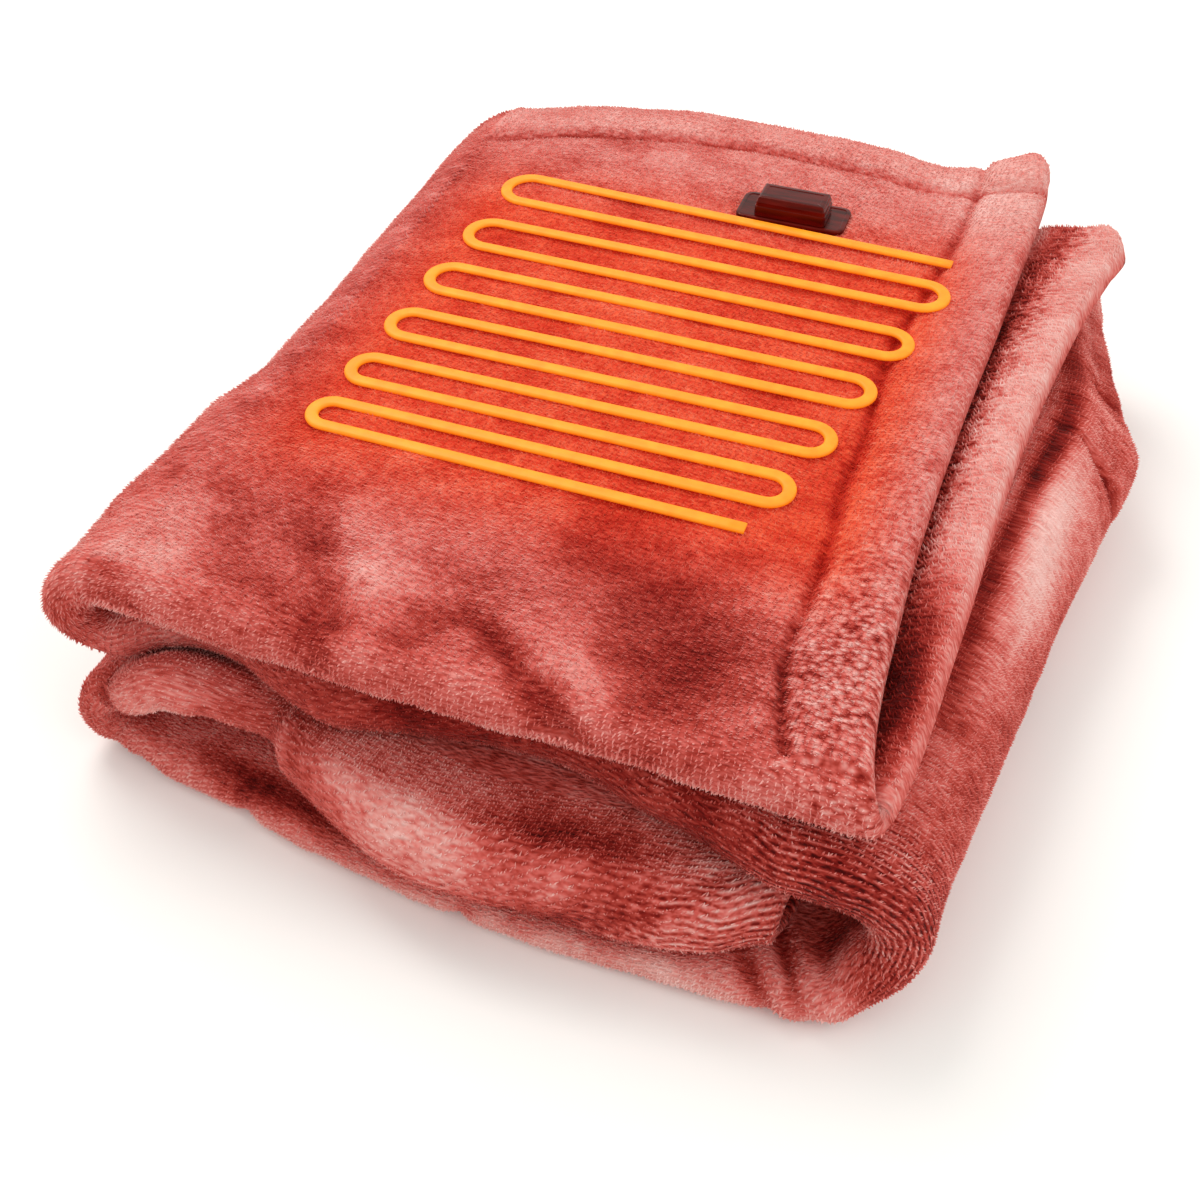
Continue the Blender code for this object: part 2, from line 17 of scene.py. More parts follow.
import bmesh
import bpy
import numpy as np
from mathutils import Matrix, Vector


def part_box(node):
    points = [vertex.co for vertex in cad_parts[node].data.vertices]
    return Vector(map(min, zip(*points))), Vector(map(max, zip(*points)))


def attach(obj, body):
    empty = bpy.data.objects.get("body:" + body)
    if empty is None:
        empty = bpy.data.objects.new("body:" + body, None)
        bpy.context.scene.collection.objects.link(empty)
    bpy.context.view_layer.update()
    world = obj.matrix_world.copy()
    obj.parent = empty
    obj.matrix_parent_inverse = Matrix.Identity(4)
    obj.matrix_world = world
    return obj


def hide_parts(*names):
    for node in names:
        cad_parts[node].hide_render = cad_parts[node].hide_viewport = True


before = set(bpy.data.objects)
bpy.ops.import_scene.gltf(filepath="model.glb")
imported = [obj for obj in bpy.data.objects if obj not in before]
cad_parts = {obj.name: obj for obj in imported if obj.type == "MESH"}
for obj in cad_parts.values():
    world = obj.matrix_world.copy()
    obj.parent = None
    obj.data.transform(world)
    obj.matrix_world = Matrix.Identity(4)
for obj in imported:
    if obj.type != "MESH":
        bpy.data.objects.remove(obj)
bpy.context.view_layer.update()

MM = 0.001
print("nodes:", sorted(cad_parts))

# %% [markdown]
# ## The camera
#
# The photograph looks down on the pack from the front and a little from the right. Its parallel hems
# give the vanishing points, and those give the angles below. The lens is in millimetres for a film
# 36 mm wide, so a longer lens would flatten the pack.

# %% Camera
CENTRE = (24.6 * MM, -9.9 * MM)      # middle of the pack in the frame that the tables below use
CAMERA_PLACE = (177 * MM - CENTRE[0], -535 * MM - CENTRE[1], 515 * MM)
CAMERA_DOWN = math.radians(45.3)     # how far it looks down
CAMERA_TURN = math.radians(20.0)     # how far it is turned to the left
CAMERA_LENS = 43.53

camera_data = bpy.data.cameras.new("camera")
camera_data.lens = CAMERA_LENS
camera_data.sensor_width = 36.0
camera_data.clip_start = 0.01
camera = bpy.data.objects.new("camera", camera_data)
camera.location = CAMERA_PLACE
camera.rotation_euler = (math.pi / 2 - CAMERA_DOWN, 0.0, CAMERA_TURN)
bpy.context.scene.collection.objects.link(camera)
bpy.context.scene.camera = camera
print("camera at, mm:", [round(value / MM) for value in camera.location])

# %% [markdown]
# ## The folds as tables
#
# A folded cloth is easiest to describe by two distances over its surface. `along` follows the doubled
# cloth from its right hems, over the top, round the upper left turn, back to the right, round the
# large right turn, along the bottom, round the lower left turn and back inside. `across` goes from
# the back hem over the upper layer to the front, round the rolled front edge, and over the under
# layer to the back again.
#
# A whole number in `at` is where a run meets a turn. The other columns are millimetres: how far the
# rolled edge comes forward, where the two layers end at the back, the height of the underside, how
# thick the cloth is and how wide the gap between its two layers, in the pack and at its front. The
# front's values give way to the pack's over the length `reach`.

# %% Fold tables
PATH_LENGTHS = (305, 46, 320, 110, 320, 48, 290)
ACROSS_LENGTHS = (460, 22, 450)
PATH_JOINTS = np.concatenate(([0], np.cumsum(PATH_LENGTHS))) * MM
ACROSS_JOINTS = np.concatenate(([0], np.cumsum(ACROSS_LENGTHS))) * MM

Place = namedtuple("Place", "at front back_upper back_under under_back under_front "
                            "cloth_back cloth_front gap_back gap_front reach")
FOLDS = (
    # at    front  back   back   underside     cloth        gap
    #       roll   upper  under  back  front  back  front  back front reach
    Place(0.00, -223, 238, 214, 86.5, 86.5, 12.0, 12.0, 2.0, 2.0, 45),      # top run, right hems
    Place(0.08, -223, 228, 202, 86.5, 86.5, 12.0, 12.0, 2.0, 2.0, 45),
    Place(0.16, -222, 222, 204, 86.5, 86.5, 12.0, 12.0, 2.0, 2.0, 45),
    Place(0.32, -221, 233, 214, 86.5, 86.5, 12.0, 12.0, 2.0, 2.0, 45),
    Place(0.60, -222, 238, 220, 86.5, 86.5, 12.0, 12.0, 2.0, 2.0, 45),
    Place(0.85, -219, 226, 220, 86.5, 86.0, 12.0, 11.5, 2.0, 3.0, 45),
    Place(1.00, -216, 206, 216, 86.5, 87.0, 12.0, 9.5, 2.0, 4.0, 45),       # upper left turn
    Place(1.50, -221, 174, 212, 72.0, 70.5, 12.0, 9.0, 2.0, 4.0, 45),
    Place(2.00, -216, 188, 212, 58.0, 55.0, 12.0, 9.5, 2.0, 4.0, 40),       # second run
    Place(2.05, -208, 191, 212, 58.0, 60.0, 12.0, 9.0, 2.0, 3.0, 35),
    Place(2.12, -206, 197, 212, 58.0, 64.0, 12.0, 9.0, 2.0, 2.0, 35),
    Place(2.20, -208, 202, 212, 58.0, 62.0, 12.0, 9.5, 2.0, 2.0, 35),
    Place(2.27, -215, 206, 212, 58.0, 59.0, 12.0, 10.5, 2.0, 3.0, 40),
    Place(2.34, -221, 208, 212, 58.0, 58.0, 12.0, 11.5, 2.0, 3.0, 45),
    Place(2.45, -215, 212, 212, 58.0, 58.0, 12.0, 11.5, 2.0, 3.0, 45),
    Place(2.65, -207, 214, 212, 58.0, 58.0, 12.0, 11.5, 2.0, 3.0, 45),
    Place(2.82, -221, 214, 212, 58.0, 58.0, 12.0, 11.5, 2.0, 3.0, 45),
    Place(3.00, -235, 212, 210, 58.0, 58.0, 12.0, 10.5, 2.0, 5.0, 45),      # right turn
    Place(3.50, -232, 212, 210, 28.0, 28.0, 12.0, 9.5, 2.0, 6.0, 45),
    Place(4.00, -250, 212, 210, 0.0, 0.0, 11.5, 8.0, 1.8, 3.6, 45),         # bottom run
    Place(4.15, -252, 212, 210, 0.0, 0.0, 11.5, 7.2, 1.8, 2.2, 45),
    Place(4.60, -247, 212, 210, 0.0, 0.0, 11.5, 7.2, 1.8, 2.2, 45),
    Place(4.75, -238, 212, 210, 0.0, 0.0, 11.2, 7.4, 1.8, 2.4, 45),
    Place(4.86, -232, 212, 210, 0.0, 0.0, 11.0, 7.8, 1.8, 3.0, 45),
    Place(4.94, -229, 211, 209, 0.0, 0.0, 11.0, 8.0, 1.8, 3.6, 35),
    Place(5.00, -224, 210, 208, 0.0, 0.0, 11.0, 7.6, 1.8, 3.6, 30),         # lower left turn
    Place(5.14, -222, 209, 207, 2.0, 2.0, 11.0, 7.6, 1.8, 4.0, 32),
    Place(5.32, -225, 209, 207, 5.0, 5.0, 11.0, 7.6, 1.8, 4.4, 35),
    Place(5.50, -226, 208, 206, 15.0, 15.0, 11.0, 7.6, 1.8, 4.4, 35),
    Place(5.70, -225, 207, 205, 26.0, 26.0, 11.0, 7.6, 2.0, 4.4, 35),
    Place(5.86, -223, 206, 204, 30.0, 28.0, 11.0, 7.6, 2.0, 4.4, 30),
    Place(6.00, -226, 206, 204, 30.0, 31.0, 11.0, 7.6, 2.0, 4.4, 22),       # inner run
    Place(6.05, -231, 206, 204, 30.0, 40.0, 11.0, 8.0, 2.0, 6.0, 18),
    Place(6.10, -232, 206, 204, 30.0, 50.0, 11.0, 8.0, 2.0, 7.0, 18),
    Place(6.15, -230, 206, 204, 30.0, 48.0, 11.5, 8.0, 2.0, 7.0, 18),
    Place(6.20, -223, 206, 204, 30.0, 38.0, 11.5, 8.5, 2.0, 5.0, 18),
    Place(6.24, -219, 206, 204, 30.0, 31.0, 11.5, 9.0, 2.0, 4.0, 20),
    Place(6.29, -230, 206, 204, 30.0, 28.0, 11.5, 10.0, 2.0, 6.0, 30),
    Place(6.36, -242, 204, 202, 30.0, 25.0, 11.5, 11.0, 2.0, 8.5, 45),
    Place(6.48, -255, 204, 202, 30.0, 19.0, 11.5, 11.5, 2.0, 13.5, 45),
    Place(6.75, -256, 202, 200, 30.0, 19.0, 11.5, 11.5, 2.0, 13.5, 45),
    Place(6.92, -249, 202, 200, 30.0, 19.5, 11.5, 11.5, 2.0, 13.0, 45),
    Place(7.00, -238, 202, 200, 30.0, 21.0, 11.5, 11.5, 2.0, 11.5, 45),     # free end of the inner run
)

# From front to back: where the folded cloth ends or turns on the left and on the right.
Station = namedtuple("Station", "y upper_hem under_hem upper_left right_side right_reach "
                                "lower_left inner_end")
STATIONS = (
    #        y   upper  under  upper  right  its    lower  inner
    #            hem    hem    left   side   reach  left   end
    Station(-250, 166, 166, -189, 196, 38, -182, 136),
    Station(-225, 165, 168, -189, 196, 38, -186, 140),
    Station(-200, 159, 172, -186, 197, 40, -184, 146),
    Station(-120, 153, 177, -176, 206, 46, -178, 156),
    Station(0, 154, 182, -170, 223, 51, -173, 160),
    Station(80, 158, 190, -171, 232, 50, -170, 162),
    Station(130, 160, 197, -172, 219, 43, -169, 161),
    Station(170, 162, 205, -172, 209, 37, -169, 158),
    Station(195, 163, 210, -170, 205, 35, -168, 156),
    Station(206, 163, 206, -168, 206, 34, -168, 154),
    Station(216, 162, 192, -166, 205, 33, -168, 153),
    Station(228, 160, 186, -160, 203, 32, -167, 152),
    Station(236, 152, 184, -156, 201, 31, -166, 151),
    Station(242, 136, 184, -154, 200, 31, -166, 150),
)

# Small folds that stand out on the turns. `layer` is 0 for the upper layer and 1 for the under one.
Ridge = namedtuple("Ridge", "at_front at_back width height y_from y_to fade layer")
RIDGES = (
    Ridge(1.36, 1.36, 9, 4.5, -196, -60, 34, 0),       # upper bulge of the left corner
    Ridge(1.78, 1.78, 8, 4.0, -196, -60, 34, 0),       # lower bulge of the left corner
    Ridge(3.21, 3.19, 7, 4.5, -150, 270, 60, 1),       # thin roll under the second hem
    Ridge(3.47, 3.30, 6, 4.5, 30, 230, 50, 1),         # pleats at the back of the right side
    Ridge(3.50, 3.48, 6, 4.0, 30, 230, 50, 1),
    Ridge(3.70, 3.68, 8, 1.5, -300, -150, 50, 0),      # pleat in the mouth of the right turn
)
STEP = 0.1 * MM                      # distance over which slopes are measured
FAR = 1.0                            # a distance in metres that is past every edge of the pack
CORNER_LIFT = 9 * MM                 # the back right corner of the top stands up
CORNER_SPREAD = 38 * MM
FLAT_TOP = (FOLDS[0].under_back + 2 * FOLDS[0].cloth_back + FOLDS[0].gap_back) * MM
print("cloth path, mm:", round(PATH_JOINTS[-1] / MM), "across, mm:", round(ACROSS_JOINTS[-1] / MM))

# %% [markdown]
# ## Reading the tables as smooth curves
#
# Between two rows the cloth has to flow without a kink. A Hermite curve does that: it goes through
# each value and has the same slope on both sides of it. Where a run meets a turn the slope is zero.

# %% Smooth curves from tables
def smooth_curve(place, xs, ys, slopes):
    """Height at `place` of the curve through the points (xs, ys) with the given slopes."""
    k = np.clip(np.searchsorted(xs, place, side="right") - 1, 0, len(xs) - 2)
    width = xs[k + 1] - xs[k]
    f = np.clip((place - xs[k]) / width, 0.0, 1.0)
    rise = f * f * (3 - 2 * f)
    value = ys[k] * (1 - rise) + ys[k + 1] * rise
    value += width * (f * (1 - f) ** 2 * slopes[k] - f * f * (1 - f) * slopes[k + 1])
    return value


def along_path(at):
    """Distance along the doubled cloth for a number in the column `at`."""
    return np.interp(at, np.arange(len(PATH_JOINTS)), PATH_JOINTS)


def from_folds(along, column):
    xs = along_path([row.at for row in FOLDS])
    ys = np.array([getattr(row, column) for row in FOLDS]) * MM
    at_joint = np.array([row.at == round(row.at) for row in FOLDS])
    return smooth_curve(along, xs, ys, np.where(at_joint, 0, np.gradient(ys, xs)))


def from_stations(y, column):
    xs = np.array([row.y for row in STATIONS]) * MM
    ys = np.array([getattr(row, column) for row in STATIONS]) * MM
    return smooth_curve(y, xs, ys, np.gradient(ys, xs))


def settle(along, depth, name):
    """Blend a fold size from its value at the rolled front edge to its value in the pack."""
    front = np.exp(-(np.maximum(depth, 0.0) / from_folds(along, "reach")) ** 2)
    back_value = from_folds(along, name + "_back")
    return back_value + (from_folds(along, name + "_front") - back_value) * front


print("height of the flat top, mm:", round(FLAT_TOP / MM, 1))

# %% [markdown]
# ## From two distances to a place in the pack
#
# The middle of the doubled cloth is a path in X and Z: straight on a run, half an ellipse on a turn.
# Each layer of cloth lies half a cloth and half a gap to one side of it, and at the front the two
# layers meet in a half round.

# %% The path of the doubled cloth
def path_part(along):
    """Number of the run or turn, from 0 to 6."""
    return np.clip(np.searchsorted(PATH_JOINTS, along, side="right") - 1, 0, 6)


def half_roll(along, depth):
    """Half the height of the doubled cloth: one cloth and half the gap."""
    return settle(along, depth, "cloth") + settle(along, depth, "gap") / 2


def level(along, depth):
    """Height of the middle of the doubled cloth."""
    return settle(along, depth, "under") + half_roll(along, depth)


def joint_x(joint, y, layer):
    """X where a run ends. `layer` is 0 on the upper layer and 1 on the under one."""
    in_pack = np.full_like(y, FAR)
    if joint == 0:
        return from_stations(y, "upper_hem") * (1 - layer) + from_stations(y, "under_hem") * layer
    if joint == 7:
        return from_stations(y, "inner_end")
    turn = 1 + 2 * ((joint - 1) // 2)
    thickness = half_roll(along_path(turn + 0.5), in_pack)
    if turn == 3:
        return from_stations(y, "right_side") - from_stations(y, "right_reach") - thickness
    drop = level(PATH_JOINTS[turn], in_pack) - level(PATH_JOINTS[turn + 1], in_pack)
    column = "upper_left" if turn == 1 else "lower_left"
    return from_stations(y, column) + np.abs(drop) / 2 + thickness


def path_point(along, y, depth, layer):
    """X and Z of the middle of the doubled cloth. `depth` is how far behind the rolled edge it is."""
    piece = path_part(along)
    f = (along - PATH_JOINTS[piece]) / (PATH_JOINTS[piece + 1] - PATH_JOINTS[piece])
    x = np.zeros_like(along)
    z = level(along, depth)
    for number in range(7):
        here = piece == number
        if not here.any():
            continue
        yy, dd, ff, lay = y[here], depth[here], f[here], layer[here]
        start_x = joint_x(number, yy, lay)
        if number % 2 == 0:
            x[here] = start_x + (joint_x(number + 1, yy, lay) - start_x) * ff
            continue
        z_in = level(PATH_JOINTS[number], dd)
        z_out = level(PATH_JOINTS[number + 1], dd)
        reach = from_stations(yy, "right_reach") if number == 3 else -np.abs(z_in - z_out) / 2
        x[here] = start_x + reach * np.sin(np.pi * ff)
        z[here] = (z_in + z_out) / 2 + (z_in - z_out) / 2 * np.cos(np.pi * ff)
    return x, z


print("runs and turns:", path_part(PATH_JOINTS[-1]) + 1)


# %% The middle of the cloth
def ridge_height(along, y, layer):
    """How far the small folds of the table push the cloth outwards."""
    total = np.zeros_like(along)
    for ridge in RIDGES:
        back_part = np.clip((y / MM - ridge.y_from) / (ridge.y_to - ridge.y_from), 0, 1)
        at = ridge.at_front + (ridge.at_back - ridge.at_front) * back_part
        hump = np.exp(-((along - along_path(at)) / (ridge.width * MM)) ** 2)
        start = np.clip((y / MM - ridge.y_from) / ridge.fade, 0, 1)
        end = np.clip((ridge.y_to - y / MM) / ridge.fade, 0, 1)
        on_layer = np.clip(1 - 2 * np.abs(layer - ridge.layer), 0, 1)
        outwards = 1 if ridge.layer == 0 else -1
        total += outwards * ridge.height * MM * hump * start * end * on_layer
    return total


def roll_angle(across):
    """Angle round the rolled front edge: 0 on the upper layer and pi on the under one."""
    start, end = ACROSS_JOINTS[1], ACROSS_JOINTS[2]
    return np.clip((across - start) / (end - start), 0, 1) * np.pi


def layer_of(across):
    return (1 - np.cos(roll_angle(across))) / 2


def cloth_middle(along, across):
    """Places in the middle of the cloth's thickness, and how far behind the rolled edge they lie."""
    roll = roll_angle(across)
    layer = layer_of(across)
    at_front = np.zeros_like(along)
    bend = (settle(along, at_front, "cloth") + settle(along, at_front, "gap")) / 2
    roll_y = from_folds(along, "front") + half_roll(along, at_front)
    upper_y = from_folds(along, "back_upper")
    under_y = from_folds(along, "back_under")
    upper_part = across / ACROSS_JOINTS[1]
    under_part = (across - ACROSS_JOINTS[2]) / (ACROSS_JOINTS[3] - ACROSS_JOINTS[2])
    y = roll_y - bend * np.sin(roll)
    y = np.where(upper_part < 1, upper_y + (roll_y - upper_y) * upper_part, y)
    y = np.where(under_part > 0, roll_y + (under_y - roll_y) * under_part, y)
    depth = np.maximum(y - roll_y, 0)
    x, z = path_point(along, y, depth, layer)
    x_next, z_next = path_point(along + STEP, y, depth, layer)
    x_last, z_last = path_point(along - STEP, y, depth, layer)
    run = np.hypot(x_next - x_last, z_next - z_last)
    span = (settle(along, depth, "cloth") + settle(along, depth, "gap")) / 2 * np.cos(roll)
    span = span + ridge_height(along, y, layer)
    x = x + (z_next - z_last) / run * span
    z = z - (x_next - x_last) / run * span
    corner_x = x - from_stations(y, "upper_hem")
    corner = np.exp(-(corner_x ** 2 + (y - upper_y) ** 2) / CORNER_SPREAD ** 2)
    on_top = (upper_part < 1) & (along < PATH_JOINTS[1])
    z = z + np.where(on_top, CORNER_LIFT * corner, 0)
    return np.stack((x, y, z), axis=-1), depth


sample, _ = cloth_middle(np.array([0.15]), np.array([0.2]))
print("a point of the top run, mm:", np.round(sample[0] / MM, 1))

# %% [markdown]
# ## Soft noise
#
# Cloth is never quite even. This is value noise: random heights on a lattice, joined smoothly. The
# lattice comes from a fixed seed, so that each run of the script gives the same cloth.

# %% Soft noise
NOISE_SIDE = 24
noise_heights = np.random.default_rng(7).uniform(-1, 1, (NOISE_SIDE,) * 3)


def soft_noise(points, size):
    """Smooth noise between -1 and 1 at points in metres. `size` is the size of a lump."""
    counted = points / size
    cell = np.floor(counted).astype(int)
    f = counted - cell
    f = f * f * (3 - 2 * f)
    total = np.zeros(len(points))
    for corner in range(8):
        step = np.array([corner & 1, corner >> 1 & 1, corner >> 2 & 1])
        weight = np.prod(np.where(step, f, 1 - f), axis=1)
        i, j, k = ((cell + step) % NOISE_SIDE).T
        total += weight * noise_heights[i, j, k]
    return total


print("noise at the origin:", round(float(soft_noise(np.zeros((1, 3)), 0.01)[0]), 3))

# %% [markdown]
# ## Creases placed one by one
#
# The photo shows soft troughs and ridges on the top, and sharper ones at the left corner. Each row
# below is one of them: a line from one place to another, its width and its height in millimetres.
# A trough has a negative height.

# %% Creases on the top
Crease = namedtuple("Crease", "x0 y0 x1 y1 width height")
CREASES = (
    # from     to        width height
    Crease(2, -187, 24, -205, 6, -3.6),        # start of the diagonal crease
    Crease(24, -205, 49, -217, 4.5, -5.0),
    Crease(49, -217, 74, -225, 4, -5.5),       # diagonal crease down to the front lip
    Crease(70, -224, 88, -232, 4, -4.5),
    Crease(14, -184, 62, -207, 8, 2.2),        # swell behind it
    Crease(34, -128, 72, -168, 26, -3.0),      # broad hollow beside the right hem
    Crease(72, -168, 84, -208, 20, -2.6),
    Crease(-98, -138, -62, -190, 12, -2.6),    # hollow in the front left third
    Crease(-62, -190, -54, -214, 8, -3.0),
    Crease(-26, -206, -8, -190, 8, -2.2),
    Crease(-76, -150, -38, -204, 11, 2.0),
    Crease(-126, -150, -100, -186, 12, -2.2),
    Crease(-161, -205, -140, -216, 6, -2.6),   # crease along the left corner's lip
    Crease(-140, -216, -112, -226, 5, -3.0),
    Crease(-160, -120, -128, -190, 10, 1.8),
    Crease(-152, 10, -166, -110, 14, -1.6),    # along the left shoulder
    Crease(-150, 60, -158, 160, 16, -1.4),
)


def crease_height(points, on_upper):
    """Height of the creases at points of the cloth, where those are on its upper layer."""
    total = np.zeros(len(points))
    flat = points[:, :2] / MM
    for crease in CREASES:
        start = np.array([crease.x0, crease.y0], float)
        line = np.array([crease.x1, crease.y1], float) - start
        f = np.clip((flat - start) @ line / (line @ line), 0, 1)
        away = np.linalg.norm(flat - start - f[:, None] * line, axis=1)
        ends = 0.55 + 0.45 * np.sin(np.pi * np.clip(f, 0.02, 0.98))
        profile = np.exp(-(away / crease.width) ** 2)
        total += np.where(on_upper, crease.height * MM * ends * profile, 0)
    return total


print("creases on the top:", len(CREASES))

# %% [markdown]
# ## Creases on the folds
#
# The folds have creases too. There a place is given by `at` and by the distance across in
# millimetres. With `lip` the crease is a step: the cloth is high on its left (1) or on its right (-1)
# only. Its profile rises to nearly 1 beside the line and dies out again.

# %% Creases on the folds
LIP_RISE = 2.3                      # brings the highest point of the lip's profile to nearly 1
FoldCrease = namedtuple("FoldCrease", "at0 across0 at1 across1 width height lip")
FOLD_CREASES = (
    FoldCrease(4.02, 436, 3.87, 476, 6, 4.0, 1),        # lips of the pleats at the right corner
    FoldCrease(4.06, 446, 3.97, 476, 6, 4.0, 1),
    FoldCrease(5.52, 500, 5.62, 478, 5, -3.0, 0),       # between the bulges of the lower left turn
    FoldCrease(5.02, 492, 5.10, 478, 4, -3.0, 0),       # where the lower turn rolls into its lip
    FoldCrease(5.96, 460, 5.90, 480, 4, -3.0, 0),
    FoldCrease(6.16, 444, 6.05, 462, 4, -2.5, 0),       # wrinkles over the lip
    FoldCrease(6.22, 446, 6.16, 470, 4, -2.5, 0),
    FoldCrease(6.30, 468, 6.27, 486, 3, 2.5, 0),        # small ridge on the inner run's start
    FoldCrease(6.40, 463, 6.66, 466, 3.5, -3.5, 0),     # where the inner run hangs over its edge
    FoldCrease(6.66, 466, 6.85, 475, 3.5, -3.0, 0),
    FoldCrease(6.85, 475, 6.94, 486, 3, -2.5, 0),
    FoldCrease(3.18, 790, 3.18, 640, 3, -3.5, 0),       # under the second hem
    FoldCrease(3.18, 660, 3.21, 560, 3, -2.5, 0),
    FoldCrease(3.18, 770, 3.50, 756, 4, -4.5, 0),       # between the pleats of the right side
    FoldCrease(3.22, 826, 3.40, 818, 4, -4.5, 0),
    FoldCrease(3.24, 798, 3.48, 790, 8, 3.0, 0),
    FoldCrease(3.22, 720, 3.34, 560, 9, 2.0, 0),        # slack of the right side
    FoldCrease(4.42, 462, 4.46, 482, 4, -2.5, 0),       # dents of the bottom ply
    FoldCrease(4.80, 460, 4.78, 482, 5, -2.5, 0),
)


def fold_crease_height(along, across):
    """Height of the creases on the folds."""
    total = np.zeros(len(along))
    flat = np.stack((along, across), axis=-1) / MM
    for crease in FOLD_CREASES:
        start = np.array((along_path(crease.at0) / MM, crease.across0))
        line = np.array((along_path(crease.at1) / MM, crease.across1)) - start
        f = np.clip((flat - start) @ line / (line @ line), 0, 1)
        offset = flat - start - f[:, None] * line
        away = np.linalg.norm(offset, axis=1)
        fade = np.sin(np.pi * np.clip(f, 0.06, 0.94)) ** 0.5
        profile = np.exp(-(away / crease.width) ** 2)
        if crease.lip:
            side = crease.lip * np.sign(line[0] * offset[:, 1] - line[1] * offset[:, 0])
            profile *= LIP_RISE * side * away / crease.width
        total += crease.height * MM * fade * profile
    return total


print("creases on the folds:", len(FOLD_CREASES))

# %% [markdown]
# ## Hems
#
# The cut edge is turned in and sewn down, which makes a band about 35 mm wide with twice the cloth in
# it. The band stands up a little, the thread pulls a trench along its inner side, and the sewing
# wanders. So the width of the band is a table too, read with the same smooth curve.

# %% Hems and edges
HemWidth = namedtuple("HemWidth", "place width")
RIGHT_HEM = (       # place is Y, from front to back
    HemWidth(-240, 31), HemWidth(-200, 34), HemWidth(-163, 38), HemWidth(-127, 36),
    HemWidth(-95, 35), HemWidth(-63, 38), HemWidth(-30, 37), HemWidth(22, 42),
    HemWidth(65, 42), HemWidth(92, 39), HemWidth(131, 37), HemWidth(172, 36), HemWidth(240, 33),
)
BACK_HEM = (        # place is X, from left to right
    HemWidth(-190, 40), HemWidth(-110, 38), HemWidth(-53, 35), HemWidth(-32, 33),
    HemWidth(3, 32), HemWidth(38, 31), HemWidth(73, 30), HemWidth(107, 29), HemWidth(160, 31),
)
HEM_PUFF = 3.2 * MM
TRENCH_DEPTH = 3.0 * MM
TRENCH_WIDTH = 3.2 * MM
UNDER_HEM = 30 * MM
UNDER_PUFF = 6 * MM                 # the roll of the under layer's hem beside the upper one
LEAST_SHOWN = 8 * MM                # the narrowest that the roll gets


def hem_width(place, table):
    xs = np.array([row.place for row in table]) * MM
    ys = np.array([row.width for row in table]) * MM
    return smooth_curve(place, xs, ys, np.gradient(ys, xs))


def hem_relief(distance, width):
    """Height of the hem over the cloth beside it, with the trench of its stitch line."""
    inside = np.clip(distance / width, 0, 1)
    puff = HEM_PUFF * (4 * inside * (1 - inside)) ** 0.7
    return puff - TRENCH_DEPTH * np.exp(-((distance - width) / TRENCH_WIDTH) ** 2)


def rounded(distance, radius):
    """1 inside the cloth, falling to 0 at its edge on a round profile."""
    inside = np.clip(distance / radius, 0, 1)
    return np.sqrt(1 - (1 - inside) ** 2)


print("right hem in the middle, mm:", round(float(hem_width(np.array([0.0]), RIGHT_HEM)[0] / MM), 1))

# %% [markdown]
# ## The two faces of the cloth
#
# Each point of the cloth has an outer and an inner face, half the cloth's thickness to each side of
# its middle. The relief goes on the outer face. The inner one shows only at the under layer's right
# hem, which gets a roll of its own. Lumps are smaller where the cloth is pressed between other
# layers, so that no two layers touch.

# %% Relief of the outer face
LUMPS = ((42, 1.1), (17, 0.55), (7, 0.28))          # size and height in millimetres
ROLL_MIDDLE = (ACROSS_JOINTS[1] + ACROSS_JOINTS[2]) / 2
ROLL_HALF = (ACROSS_JOINTS[2] - ACROSS_JOINTS[1]) / 2
ROLL_SHOWS = 30 * MM                # how far from the roll its neighbours still show
PRESSED = 0.25                      # share of the lumps that is left where another layer lies on it


def unit(vectors):
    return vectors / np.linalg.norm(vectors, axis=-1, keepdims=True)


def cloth_directions(along, across):
    """Unit vectors over the cloth: along it, across it, and out of its outer face."""
    forward = cloth_middle(along + STEP, across)[0] - cloth_middle(along - STEP, across)[0]
    sideways = cloth_middle(along, across + STEP)[0] - cloth_middle(along, across - STEP)[0]
    return unit(forward), unit(sideways), unit(np.cross(forward, sideways))


def in_the_open(along, across):
    """1 where the outer face shows, and less where another layer lies on it."""
    run = path_part(along)
    layer = layer_of(across)
    from_roll = np.maximum(np.abs(across - ROLL_MIDDLE) - ROLL_HALF, 0)
    near_roll = np.exp(-(from_roll / ROLL_SHOWS) ** 2)
    upper_side = np.isin(run, (0, 1)) * (1 - layer)
    under_side = np.isin(run, (3, 5)) * layer
    return np.clip(PRESSED + near_roll + upper_side + under_side, 0, 1)


def outer_relief(middle, along, across, from_start, from_back):
    """Creases, lumps and hems together: how far the outer face stands off its plain place."""
    flat_place = np.stack((along, across, np.zeros_like(along)), axis=-1)
    on_upper = (path_part(along) == 0) & (layer_of(across) < 0.5)
    total = crease_height(middle, on_upper) + fold_crease_height(along, across)
    for size, height in LUMPS:
        total += height * MM * soft_noise(flat_place + size, size * MM) * in_the_open(along, across)
    on_top = (along < PATH_JOINTS[1]) & (across < ACROSS_JOINTS[1])
    right = hem_relief(from_start, hem_width(middle[:, 1], RIGHT_HEM))
    back = hem_relief(from_back, hem_width(middle[:, 0], BACK_HEM))
    return total + np.where(on_top, right + back, 0)


print("sizes of the lumps, mm:", [size for size, _ in LUMPS])


